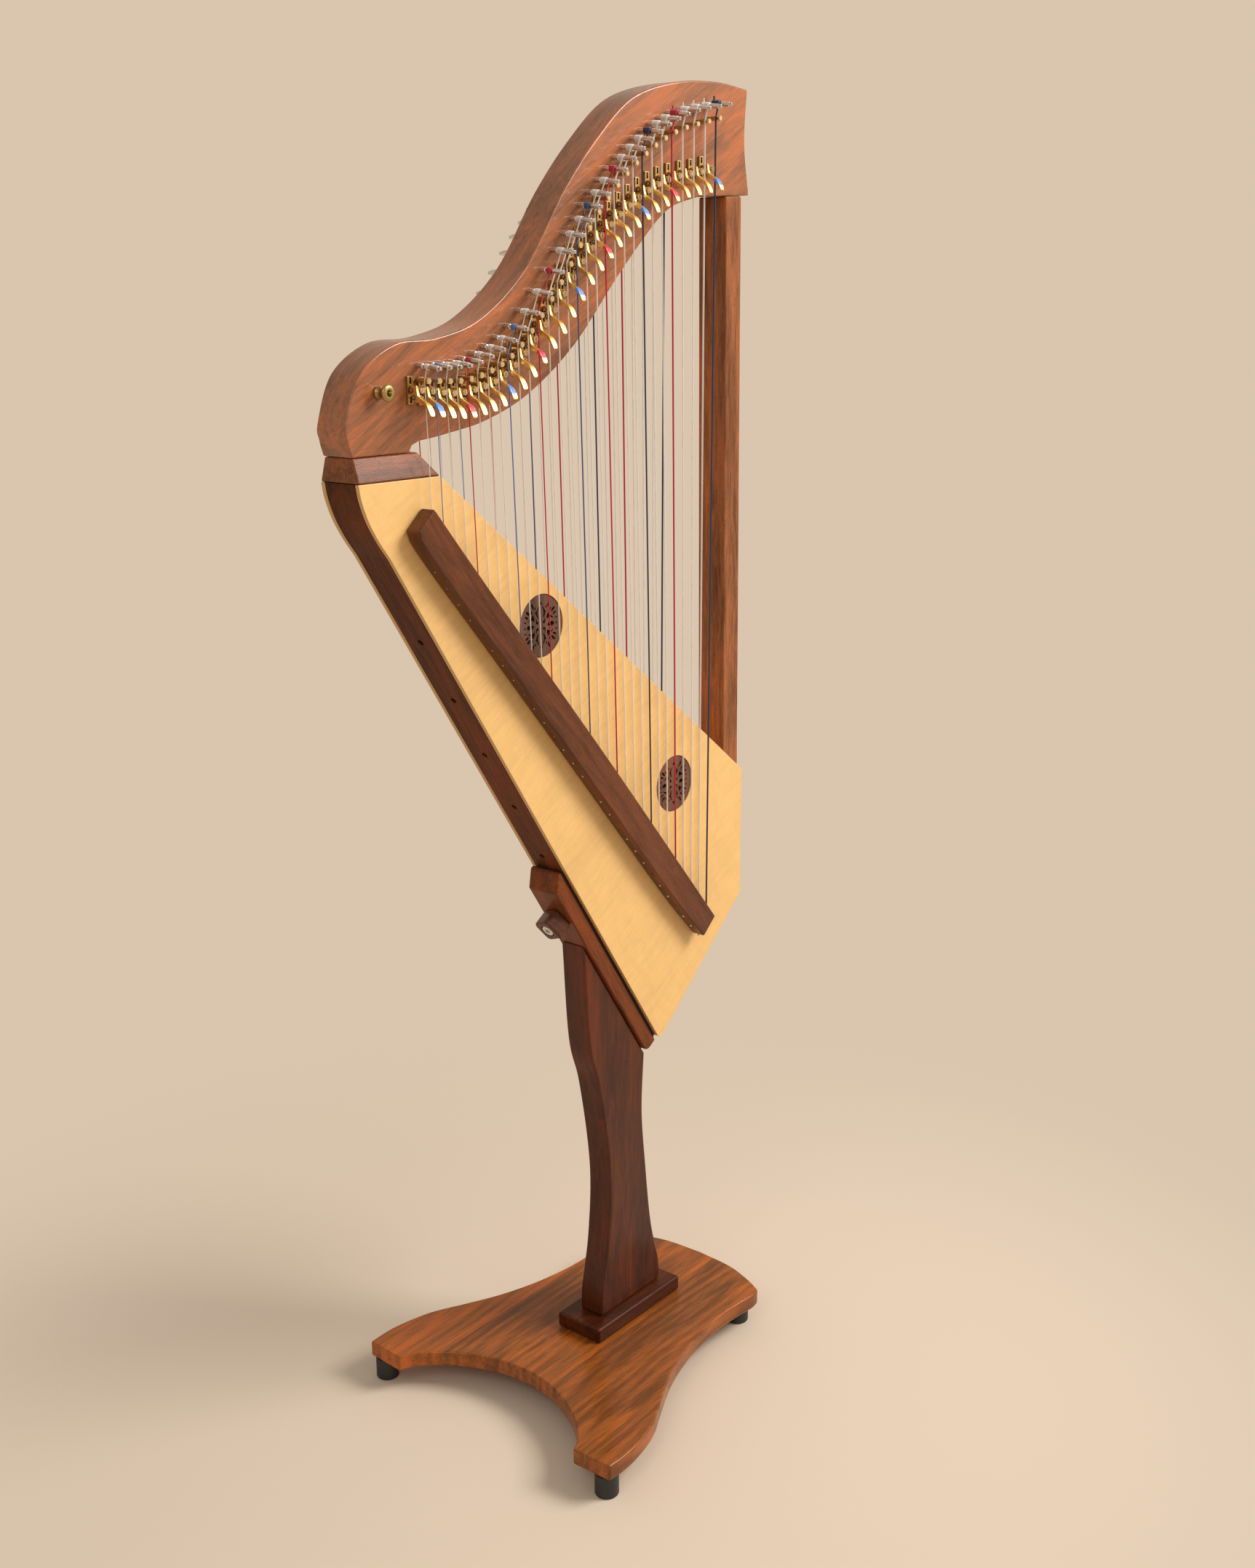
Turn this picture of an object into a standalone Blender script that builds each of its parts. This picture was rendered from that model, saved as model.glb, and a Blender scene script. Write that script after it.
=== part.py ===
"""A double-strung harp on its pedestal stand.

The harp has two parallel rows of thirty strings. Each row runs from a curved rail, fixed to one
side of the sound box, past its sharping levers and over its bridge pins to the tuning pins in the
neck. The sound box lies in a sloping cradle at the top of a shaped board, whose plinth stands on
a spreading base with four rubber feet.

All sizes are in metres. X runs from the treble end to the pillar, the near row of strings is on
the -Y side, and Z is up. Places are measured from the middle of the plinth on the floor. The
last lines move the whole assembly so that its origin is under the middle of its length.
"""

import math

import bmesh
import bpy
from mathutils import Matrix, Vector

# How close two touching pieces lie.
SEAT = 0.0003

# Feet
FOOT_RADIUS = 0.013
FOOT_HEIGHT = 0.0256
FOOT_BACK_X = -0.2254
FOOT_BACK_Y = 0.1671
FOOT_FRONT_X = 0.1253
FOOT_FRONT_Y = 0.0850
FOOT_EDGE = 0.0015
FOOT_RECESS_RADIUS = 0.0055
FOOT_RECESS_DEPTH = 0.004
FOOT_SIDES = 14

# Base board. Its half outline runs from the middle of the front to the middle of the back.
BASE_THICK = 0.0190
BASE_EDGE = 0.0045
BASE_OUTLINE = [
    (0.1590, 0.0000), (0.1510, 0.0500), (0.1320, 0.1000), (0.1225, 0.1085), (0.1080, 0.1058),
    (0.0380, 0.1046), (-0.0426, 0.1190), (-0.1240, 0.1560), (-0.1830, 0.1830), (-0.2200, 0.1862),
    (-0.2490, 0.1680), (-0.2480, 0.1420), (-0.1960, 0.0880), (-0.1660, 0.0000),
]

# Plinth
PLINTH_LENGTH = 0.1524
PLINTH_WIDTH = 0.0638
PLINTH_HEIGHT = 0.0183
PLINTH_EDGE = 0.0030

# Pedestal board. The curves run from the plinth up to the cradle.
PEDESTAL_THICK = 0.0328
PEDESTAL_EDGE = 0.0025
PEDESTAL_BACK = [(-0.0528, 0.0640), (-0.0510, 0.0950), (-0.0400, 0.1500), (-0.0345, 0.2200),
                 (-0.0390, 0.2800), (-0.0530, 0.3590), (-0.0690, 0.4170), (-0.0800, 0.4700)]
PEDESTAL_FRONT = [(0.0560, 0.0640), (0.0550, 0.0930), (0.0410, 0.1490), (0.0306, 0.2330),
                  (0.0248, 0.3010)]
PEDESTAL_TOP_BACK_X = -0.0775
PEDESTAL_TOP_FRONT_X = 0.0287

# Sound box: its side outline is two plywood panels, and the boards between them are set flush.
BOX_HALF_WIDTH = 0.0248
PANEL_THICK = 0.0050
BACK_ANGLE = math.radians(57.0)
BACK_TOP = (-0.3470, 0.9910)
BACK_CURVE = [(-0.3820, 1.0607), (-0.3790, 1.0460), (-0.3715, 1.0270), (-0.3600, 1.0080)]
BOX_TOP_RIGHT_X = -0.2807
BOX_TIP_X = 0.0467
BOX_TIP_ROUND = 0.0070
BELLY_ANGLE = math.radians(41.5)
BOX_FRONT_X = 0.2035
BOX_FRONT_TOP_Z = 0.6779
BACK_BOARD_THICK = 0.0080
FRONT_BOARD_THICK = 0.0060
BELLY_BOARD_THICK = 0.0060
INSERT_RADIUS = 0.0034
INSERT_PITCH = 0.0762
INSERT_COUNT = 6
INSERT_FIRST = 0.1045

# Rosettes in the side panels
ROSETTE_RADIUS = 0.0320
ROSETTE_THICK = 0.0030
ROSETTE_RECESS = 0.0010
ROSETTE_UPPER = (-0.1460, 0.9010)
ROSETTE_LOWER = (0.0725, 0.6885)
ROSETTE_SIDES = 20
PETALS = 4
PETAL_POINTS = 6
PETAL_INNER = 0.0075
PETAL_OUTER = 0.0270
PETAL_HALF_WIDTH = 0.0075
ROSETTE_EYE_RADIUS = 0.0040

# Shoulder block between the sound box and the neck
BLOCK_HEIGHT = 0.0225
BLOCK_CHAMFER = 0.0067
BLOCK_SLANT = 0.0220

# Pillar
PILLAR_DEPTH = 0.0288
PILLAR_WIDTH = 0.0370
PILLAR_LEAN = 0.0095
PILLAR_EDGE = 0.0020

# Neck. Both edges run from the tail at the treble end to the head over the pillar.
NECK_THICK = 0.0380
NECK_ROUND = 0.0070
NECK_TAIL_X = -0.3880
NECK_HEAD_X = 0.2100
NECK_TOP = [(-0.3880, 1.1130), (-0.3690, 1.1550), (-0.3260, 1.1798), (-0.2730, 1.1840),
            (-0.2150, 1.2005), (-0.1530, 1.2450), (-0.0970, 1.3160), (-0.0440, 1.3690),
            (0.0100, 1.4085), (0.0800, 1.4280), (0.1500, 1.4335)]
NECK_HEAD_TOP = (0.2050, 1.4300)
NECK_HEAD_WAIST = (0.2012, 1.3760)
NECK_HEAD_LOW = (0.2100, 1.3226)
NECK_PILLAR_LOW = (0.1400, 1.3194)
NECK_BOTTOM = [(0.1090, 1.3160), (0.0590, 1.2990), (-0.0124, 1.2395), (-0.0810, 1.1740),
               (-0.1470, 1.1305), (-0.2095, 1.1070), (-0.2680, 1.0970), (-0.3000, 1.0934)]
NECK_FOOT_LENGTH = 0.0700

# Strings
STRINGS = 30
STRING_BASE_TREBLE_X = -0.3015
STRING_BASE_BASS_X = 0.1225
STRING_TREBLE_RADIUS = 0.00045
STRING_BASS_RADIUS = 0.00105
STRING_CLEAR = 0.0004

# String rails
RAIL_THICK = 0.0175
RAIL_EDGE = 0.0020
RAIL_UPPER = [(-0.3070, 1.0345), (-0.2638, 0.9828), (-0.1712, 0.8744), (-0.0560, 0.7400),
              (0.0544, 0.6081), (0.1298, 0.5175)]
RAIL_LOWER = [(0.1080, 0.4985), (0.0413, 0.5719), (-0.0850, 0.7220), (-0.2132, 0.8730),
              (-0.3120, 0.9885), (-0.3285, 1.0150)]

# Bridge pins, on a curve from the treble end to the bass end
BRIDGE_CURVE = [(-0.3038, 1.1472), (-0.2473, 1.1473), (-0.1901, 1.1682), (-0.1304, 1.2230),
                (-0.0716, 1.2913), (-0.0115, 1.3423), (0.0535, 1.3768), (0.1309, 1.3956)]
BRIDGE_ROOT_RADIUS = 0.0023
BRIDGE_GROOVE_RADIUS = 0.0017
BRIDGE_END_RADIUS = 0.0027
BRIDGE_PAST_GROOVE = 0.0045
PIN_ROOT = 0.0014
PIN_SIDES = 6

# Tuning pins, on a curve of their own
TUNING_CURVE = [(-0.2996, 1.1604), (-0.2440, 1.1650), (-0.1790, 1.1960), (-0.1085, 1.2690),
                (-0.0547, 1.3231), (0.0014, 1.3673), (0.0618, 1.3966), (0.1356, 1.4113)]
TUNING_RADIUS = 0.0024
TUNING_LENGTH = 0.0300
TUNING_HEAD_LENGTH = 0.0090
TUNING_HEAD_SIDE = 0.0028
TUNING_DROOP = math.radians(5.0)

# Sharping levers. A lever meets its string one semitone below the bridge pin.
SEMITONE = 1.0 - 2.0 ** (-1.0 / 12.0)
LEVER_SIDE_TREBLE = 0.0052
LEVER_SIDE_BASS = 0.0075
CHANNEL_HEIGHT = 0.0250
CHANNEL_WIDTH = 0.0080
CHANNEL_DEPTH = 0.0075
CHANNEL_WALL = 0.0012
PIVOT_DEPTH = 0.0060
HUB_RADIUS = 0.0030
HUB_WIDTH = 0.0040
BARREL_RADIUS = 0.0031
BARREL_SIDE = 0.0006
HANDLE_WIDTH = 0.0030
HANDLE_THICK = 0.0020
PADDLE_WIDTH = 0.0064
PADDLE_TIP_WIDTH = 0.0056
PADDLE_THICK = 0.0014
HANDLE_BEND = (0.0078, -0.0058)
PADDLE_START = (0.0148, -0.0115)
PADDLE_END = (0.0222, -0.0208)

# Strap button on the neck's tail
BUTTON_PLACE = (-0.3490, 1.1385)
BUTTON_HEAD_RADIUS = 0.0075
BUTTON_WAIST_RADIUS = 0.0045
BUTTON_BASE_RADIUS = 0.0060
BUTTON_LENGTH = 0.0150
BUTTON_HOLE_RADIUS = 0.0020
BUTTON_STEPS = 12

# Cradle bar under the back of the sound box, its pad and its clamping knob
CRADLE_WIDTH = 0.0406
CRADLE_THICK = 0.0190
CRADLE_TOP = 0.4260
CRADLE_BOTTOM = 0.7220
CRADLE_CHAMFER = 0.0160
CRADLE_ROUND = 0.0080
CRADLE_EDGE = 0.0020
PAD_THICK = 0.0021
PAD_INSET = 0.0040
BOLT_RADIUS = 0.0030
BOLT_HEAD_RADIUS = 0.0075
BOLT_HEAD_DEPTH = 0.0045
BOLT_PAST_BOARD = 0.0050
BOLT_CLEAR = 0.0005
BOLT_SIDES = 12
KNOB_SIDE = 0.0300
KNOB_HEIGHT = 0.0200
KNOB_TURN = math.radians(25.0)
KNOB_ROUND = 0.0060

# What follows from those sizes
BASE_BOTTOM_Z = FOOT_HEIGHT + SEAT
BASE_TOP_Z = BASE_BOTTOM_Z + BASE_THICK
PLINTH_TOP_Z = BASE_TOP_Z + SEAT + PLINTH_HEIGHT
BACK_ALONG = Vector((math.cos(BACK_ANGLE), 0.0, -math.sin(BACK_ANGLE)))
BACK_OUT = Vector((-math.sin(BACK_ANGLE), 0.0, -math.cos(BACK_ANGLE)))
BELLY_ALONG = Vector((math.cos(BELLY_ANGLE), 0.0, math.sin(BELLY_ANGLE)))
PANEL_INNER = BOX_HALF_WIDTH - PANEL_THICK
BOARD_HALF_WIDTH = PANEL_INNER - SEAT
NECK_HALF = NECK_THICK / 2
BOX_TOP_Z = BACK_CURVE[0][1]
BLOCK_BOTTOM_Z = BOX_TOP_Z + SEAT
BLOCK_TOP_Z = BLOCK_BOTTOM_Z + BLOCK_HEIGHT
NECK_FOOT_Z = BLOCK_TOP_Z + SEAT
RAIL_INNER = BOX_HALF_WIDTH + SEAT
RAIL_OUTER = RAIL_INNER + RAIL_THICK
STRING_Y = (RAIL_INNER + RAIL_OUTER) / 2


def material(name, colour, roughness, metallic=0.0):
    """A Principled material, made once for each name."""
    found = bpy.data.materials.get(name)
    if found:
        return found
    made = bpy.data.materials.new(name)
    made.use_nodes = True
    shader = made.node_tree.nodes["Principled BSDF"]
    shader.inputs["Base Color"].default_value = (*colour, 1.0)
    shader.inputs["Roughness"].default_value = roughness
    shader.inputs["Metallic"].default_value = metallic
    made.diffuse_color = (*colour, 1.0)
    return made


def red_walnut():
    return material("red_walnut", (0.215, 0.072, 0.030), 0.28)


def dark_walnut():
    return material("dark_walnut", (0.085, 0.028, 0.014), 0.32)


def brown_wood():
    return material("brown_wood", (0.260, 0.110, 0.052), 0.35)


def birch_ply():
    return material("birch_ply", (0.790, 0.520, 0.230), 0.42)


def base_wood():
    return material("base_wood", (0.430, 0.160, 0.050), 0.25)


def rubber():
    return material("rubber", (0.012, 0.012, 0.013), 0.75)


def gilt_brass():
    return material("gilt_brass", (0.830, 0.560, 0.190), 0.24, 1.0)


def nickel():
    return material("nickel", (0.720, 0.710, 0.690), 0.20, 1.0)


def felt():
    return material("felt", (0.010, 0.009, 0.009), 0.95)


def smooth(points, steps):
    """Points along a smooth curve through the given points, with so many steps between each two."""
    ends = [2 * Vector(points[0]) - Vector(points[1]), 2 * Vector(points[-1]) - Vector(points[-2])]
    knots = [ends[0], *map(Vector, points), ends[1]]
    curve = []
    for before, first, second, after in zip(knots, knots[1:], knots[2:], knots[3:]):
        for step in range(steps):
            t = step / steps
            turn_in = (second - before) / 2
            turn_out = (after - first) / 2
            place = (2 * t**3 - 3 * t**2 + 1) * first + (t**3 - 2 * t**2 + t) * turn_in
            place += (3 * t**2 - 2 * t**3) * second + (t**3 - t**2) * turn_out
            curve.append(tuple(place))
    return [*curve, tuple(points[-1])]


def at_share(curve, share):
    """The place at a share of the way along a list of points."""
    where = share * (len(curve) - 1)
    index = min(int(where), len(curve) - 2)
    return Vector(curve[index]).lerp(Vector(curve[index + 1]), where - index)


def arc(centre, radius, start, end, steps):
    """Points on an arc, from one angle to another."""
    angles = [start + (end - start) * step / steps for step in range(steps + 1)]
    return [(centre[0] + radius * math.cos(a), centre[1] + radius * math.sin(a)) for a in angles]


def circle(centre, radius, sides):
    """The corners of a regular polygon round a circle's centre."""
    return arc(centre, radius, 0, 2 * math.pi, sides)[:-1]


def rounded(before, corner, after, radius, steps):
    """Points of the arc that rounds one corner of an outline."""
    corner = Vector(corner)
    back = (Vector(before) - corner).normalized()
    ahead = (Vector(after) - corner).normalized()
    half = back.angle(ahead) / 2
    middle = corner + (back + ahead).normalized() * radius / math.sin(half)
    start = corner + back * radius / math.tan(half) - middle
    end = corner + ahead * radius / math.tan(half) - middle
    sweep = start.angle_signed(end)
    first = math.atan2(start.y, start.x)
    return arc(middle, radius, first, first - sweep, steps)


def on_back(along, out):
    """The (x, z) place so far down the back of the sound box and so far out from it."""
    return (
        BACK_TOP[0] + along * BACK_ALONG.x + out * BACK_OUT.x,
        BACK_TOP[1] + along * BACK_ALONG.z + out * BACK_OUT.z,
    )


def back_z(x, out=0.0):
    """The height of the back line, moved out by so much, at this x."""
    place = on_back(0.0, out)
    return place[1] - (x - place[0]) * math.tan(BACK_ANGLE)


def belly_z(x, inside=0.0):
    """The height of the lower edge of the sound box, moved in by so much, at this x."""
    rise = (x - BOX_TIP_X) * math.tan(BELLY_ANGLE) + inside / math.cos(BELLY_ANGLE)
    return back_z(BOX_TIP_X) + rise


def front_slope():
    fall = BOX_TOP_Z - BOX_FRONT_TOP_Z
    return fall / (BOX_FRONT_X - BOX_TOP_RIGHT_X)


def front_z(x, inside=0.0):
    """The height of the sloping upper edge of the sound box, moved in by so much, at this x."""
    drop = inside * math.hypot(1.0, front_slope())
    return BOX_TOP_Z - (x - BOX_TOP_RIGHT_X) * front_slope() - drop


def pillar_x(z, side):
    """The x of the pillar's left (0) or right (1) face at a height: it leans to the treble end."""
    return BOX_FRONT_X - PILLAR_DEPTH * (1 - side) - (z - BOX_FRONT_TOP_Z) * PILLAR_LEAN


def collection_named(name):
    found = bpy.data.collections.get(name)
    if not found:
        found = bpy.data.collections.new(name)
        bpy.context.scene.collection.children.link(found)
    return found


def clean_mesh(mesh, flat=True):
    """Welds a mesh, merges its flat triangles if asked, and turns its faces out."""
    cage = bmesh.new()
    cage.from_mesh(mesh)
    bmesh.ops.remove_doubles(cage, verts=cage.verts, dist=1e-6)
    if flat:
        bmesh.ops.dissolve_limit(cage, angle_limit=0.002, verts=cage.verts, edges=cage.edges)
    bmesh.ops.recalc_face_normals(cage, faces=cage.faces)
    cage.to_mesh(mesh)
    cage.free()
    return mesh


def evaluated_mesh(obj):
    """The mesh that an object's modifiers or curve make, in place of the object."""
    bpy.context.view_layer.update()
    graph = bpy.context.evaluated_depsgraph_get()
    mesh = bpy.data.meshes.new_from_object(obj.evaluated_get(graph))
    mesh.transform(obj.matrix_world)
    bpy.data.objects.remove(obj)
    return mesh


def new_object(name, mesh, finish, where="double_strung_harp"):
    obj = bpy.data.objects.new(name, mesh)
    mesh.name = name
    mesh.materials.clear()
    mesh.materials.append(finish)
    collection_named(where).objects.link(obj)
    if where == "cutters":
        obj.hide_render = True
        obj.display_type = "WIRE"
    return obj


def outline_mesh(loops, y_from, y_to, flat=True):
    """A board: an outline in X and Z, with any holes as further loops, from one y to another."""
    curve = bpy.data.curves.new("outline", "CURVE")
    curve.dimensions = "2D"
    curve.fill_mode = "BOTH"
    curve.extrude = abs(y_to - y_from) / 2
    for loop in loops:
        spline = curve.splines.new("POLY")
        spline.points.add(len(loop) - 1)
        spline.use_cyclic_u = True
        for point, (x, z) in zip(spline.points, loop):
            point.co = (x, z, 0.0, 1.0)
    obj = bpy.data.objects.new("outline", curve)
    obj.rotation_euler.x = math.pi / 2
    obj.location.y = (y_from + y_to) / 2
    bpy.context.scene.collection.objects.link(obj)
    return clean_mesh(evaluated_mesh(obj), flat)


def board(name, loops, half_width, finish, where="double_strung_harp"):
    """A board that lies evenly on both sides of the harp's middle plane."""
    return new_object(name, outline_mesh(loops, -half_width, half_width), finish, where)


def bevel(obj, width, segments=1, angle=math.radians(40)):
    step = obj.modifiers.new("rounded_edges", "BEVEL")
    step.width = width
    step.segments = segments
    step.limit_method = "ANGLE"
    step.angle_limit = angle


def boolean(obj, other, operation):
    step = obj.modifiers.new(operation.lower(), "BOOLEAN")
    step.operation = operation
    step.solver = "EXACT"
    step.object = other


def turned_mesh(profile, sides):
    """A turned solid round Z. The profile is (radius, height) from the top down, on the axis
    at both ends."""
    cage = bmesh.new()
    verts = [cage.verts.new((radius, 0.0, height)) for radius, height in profile]
    for first, second in zip(verts, verts[1:]):
        cage.edges.new((first, second))
    mesh = bpy.data.meshes.new("turned")
    cage.to_mesh(mesh)
    cage.free()
    obj = bpy.data.objects.new("turned", mesh)
    bpy.context.scene.collection.objects.link(obj)
    screw = obj.modifiers.new("turn", "SCREW")
    screw.steps = sides
    screw.render_steps = sides
    screw.use_merge_vertices = True
    screw.merge_threshold = 1e-6
    return clean_mesh(evaluated_mesh(obj))


def box_mesh(low, high):
    """A box between two opposite corners."""
    cage = bmesh.new()
    bmesh.ops.create_cube(cage, size=1.0)
    for vert in cage.verts:
        vert.co = [a + (b - a) * (c + 0.5) for a, b, c in zip(low, high, vert.co)]
    mesh = bpy.data.meshes.new("box")
    cage.to_mesh(mesh)
    cage.free()
    return mesh


def joined_mesh(first, second, operation="UNION"):
    """Two closed meshes made into one with a Boolean."""
    body = bpy.data.objects.new("body", first)
    other = bpy.data.objects.new("other", second)
    for obj in (body, other):
        bpy.context.scene.collection.objects.link(obj)
    boolean(body, other, operation)
    made = evaluated_mesh(body)
    bpy.data.objects.remove(other)
    return clean_mesh(made)


def stamped_mesh(copies):
    """One mesh that holds a copy of each mesh, moved by its matrix."""
    cage = bmesh.new()
    for mesh, matrix in copies:
        moved = mesh.copy()
        moved.transform(matrix)
        if matrix.determinant() < 0:
            moved.flip_normals()
        cage.from_mesh(moved)
        bpy.data.meshes.remove(moved)
    made = bpy.data.meshes.new("stamped")
    cage.to_mesh(made)
    cage.free()
    return made


def out_of_neck(x, z, side):
    """A frame on a neck face: its Z points out of the face. side is -1 for near and 1 for far."""
    turn = Matrix.Rotation(-side * math.pi / 2, 4, "X")
    return Matrix.Translation((x, side * NECK_HALF, z)) @ turn


def make_feet():
    profile = [
        (0.0, FOOT_HEIGHT),
        (FOOT_RADIUS - FOOT_EDGE, FOOT_HEIGHT),
        (FOOT_RADIUS, FOOT_HEIGHT - FOOT_EDGE),
        (FOOT_RADIUS, FOOT_EDGE),
        (FOOT_RADIUS - FOOT_EDGE, 0.0),
        (FOOT_RECESS_RADIUS, 0.0),
        (FOOT_RECESS_RADIUS, FOOT_RECESS_DEPTH),
        (0.0, FOOT_RECESS_DEPTH),
    ]
    for end, x, half in (("back", FOOT_BACK_X, FOOT_BACK_Y), ("front", FOOT_FRONT_X, FOOT_FRONT_Y)):
        for side, y in (("near", -half), ("far", half)):
            foot = new_object(f"foot_{end}_{side}", turned_mesh(profile, FOOT_SIDES), rubber())
            foot.location = (x, y, 0.0)


def make_base():
    half = smooth(BASE_OUTLINE, 2)
    outline = half + [(x, -y) for x, y in reversed(half[1:-1])]
    mesh = outline_mesh([outline], -BASE_THICK / 2, BASE_THICK / 2)
    mesh.transform(Matrix.Rotation(-math.pi / 2, 4, "X"))
    base = new_object("base_board", mesh, base_wood())
    base.location.z = BASE_BOTTOM_Z + BASE_THICK / 2
    bevel(base, BASE_EDGE, 2, math.radians(60))
    low = (-PLINTH_LENGTH / 2, -PLINTH_WIDTH / 2, BASE_TOP_Z + SEAT)
    high = (PLINTH_LENGTH / 2, PLINTH_WIDTH / 2, PLINTH_TOP_Z)
    plinth = new_object("plinth", box_mesh(low, high), dark_walnut())
    bevel(plinth, PLINTH_EDGE, 2)


def make_pedestal():
    under_cradle = 3 * SEAT + PAD_THICK + CRADLE_THICK
    foot_z = PLINTH_TOP_Z + SEAT
    top_back = (PEDESTAL_TOP_BACK_X, back_z(PEDESTAL_TOP_BACK_X, under_cradle))
    top_front = (PEDESTAL_TOP_FRONT_X, back_z(PEDESTAL_TOP_FRONT_X, under_cradle))
    back = [(PEDESTAL_BACK[0][0], foot_z), *PEDESTAL_BACK[1:], top_back]
    front = [(PEDESTAL_FRONT[0][0], foot_z), *PEDESTAL_FRONT[1:], top_front]
    outline = smooth(back, 2) + smooth(front, 2)[::-1]
    pedestal = board("pedestal", [outline], PEDESTAL_THICK / 2, dark_walnut())
    bevel(pedestal, PEDESTAL_EDGE, 1, math.radians(35))


def bolt_profile(clear, past):
    """The clamping bolt with its head on the knob's face, grown by a clearance."""
    face = CRADLE_THICK + PAD_THICK + 3 * SEAT + KNOB_HEIGHT
    radius = BOLT_RADIUS + clear
    head = BOLT_HEAD_RADIUS + clear
    tip = -BACK_BOARD_THICK - BOLT_PAST_BOARD - past
    return [
        (0.0, face + past),
        (head, face + past),
        (head, face - BOLT_HEAD_DEPTH / 3),
        (radius, face - BOLT_HEAD_DEPTH),
        (radius, tip),
        (0.0, tip),
    ]


def across_back(along, out=0.0):
    """A frame on the back of the sound box: its Z points out, its X up the slope."""
    x, z = on_back(along, out)
    up = -BACK_ALONG
    side = BACK_OUT.cross(up)
    turn = Matrix((up, side, BACK_OUT)).transposed().to_4x4()
    return Matrix.Translation((x, 0.0, z)) @ turn


def make_cradle():
    bolt_at = across_back(INSERT_FIRST + (INSERT_COUNT - 1) * INSERT_PITCH)
    cutter = new_object("bolt_hole", turned_mesh(bolt_profile(BOLT_CLEAR, 0.01), BOLT_SIDES),
                        nickel(), "cutters")
    cutter.matrix_world = bolt_at
    inner = 2 * SEAT + PAD_THICK
    outer = inner + CRADLE_THICK
    low_in = on_back(CRADLE_BOTTOM, inner)
    low_out = on_back(CRADLE_BOTTOM, outer)
    outline = [
        on_back(CRADLE_TOP, inner),
        on_back(CRADLE_TOP, inner + CRADLE_THICK / 4),
        on_back(CRADLE_TOP + CRADLE_CHAMFER, outer),
        *rounded(on_back(CRADLE_TOP, outer), low_out, low_in, CRADLE_ROUND, 4),
        low_in,
    ]
    cradle = board("cradle", [outline], CRADLE_WIDTH / 2, brown_wood())
    bevel(cradle, CRADLE_EDGE, 2, math.radians(30))
    boolean(cradle, cutter, "DIFFERENCE")
    pad_outline = [
        on_back(CRADLE_TOP + PAD_INSET, SEAT),
        on_back(CRADLE_TOP + PAD_INSET, SEAT + PAD_THICK),
        on_back(CRADLE_BOTTOM - PAD_INSET, SEAT + PAD_THICK),
        on_back(CRADLE_BOTTOM - PAD_INSET, SEAT),
    ]
    pad = board("cradle_pad", [pad_outline], CRADLE_WIDTH / 2 - PAD_INSET / 2, felt())
    boolean(pad, cutter, "DIFFERENCE")

    half = KNOB_SIDE / 2
    corners = [(half, half), (-half, half), (-half, -half), (half, -half)]
    outline = []
    for before, corner, after in zip(corners[-1:] + corners, corners, corners[1:] + corners[:1]):
        outline += rounded(before, corner, after, KNOB_ROUND, 3)
    mesh = outline_mesh([outline], 0.0, -KNOB_HEIGHT)
    mesh.transform(Matrix.Rotation(-math.pi / 2, 4, "X"))
    mesh.transform(Matrix.Rotation(KNOB_TURN, 4, "Z"))
    knob = new_object("knob", mesh, dark_walnut())
    knob.matrix_world = bolt_at @ Matrix.Translation((0.0, 0.0, outer + SEAT))
    bevel(knob, BOLT_RADIUS / 2, 1, math.radians(60))
    boolean(knob, cutter, "DIFFERENCE")
    bolt = new_object("knob_bolt", turned_mesh(bolt_profile(0.0, 0.0), BOLT_SIDES), nickel())
    bolt.matrix_world = bolt_at


def tip_round():
    tip = (BOX_TIP_X, back_z(BOX_TIP_X))
    up_belly = (tip[0] + BELLY_ALONG.x, tip[1] + BELLY_ALONG.z)
    return rounded(BACK_TOP, tip, up_belly, BOX_TIP_ROUND, 4)


def back_curve():
    """The rounded shoulder at the top of the back, from the block down to the straight back."""
    return smooth([*BACK_CURVE, BACK_TOP], 2)


def meeting_x(back_inside, belly_inside):
    """Where the back and belly lines, each moved in by so much, meet."""
    lift = back_inside / math.cos(BACK_ANGLE) - belly_inside / math.cos(BELLY_ANGLE)
    return BOX_TIP_X + lift / (math.tan(BACK_ANGLE) + math.tan(BELLY_ANGLE))


def tip_joint(gap):
    """The outer and inner ends of the joint between the back and belly boards."""
    outer_x = max(meeting_x(BACK_BOARD_THICK, 0.0), tip_round()[-1][0] + SEAT)
    inner_x = meeting_x(BACK_BOARD_THICK, BELLY_BOARD_THICK)
    outer = (outer_x, belly_z(outer_x))
    inner = (inner_x, belly_z(inner_x, BELLY_BOARD_THICK))
    return [(x + gap * BELLY_ALONG.x, z + gap * BELLY_ALONG.z) for x, z in (outer, inner)]


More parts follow.
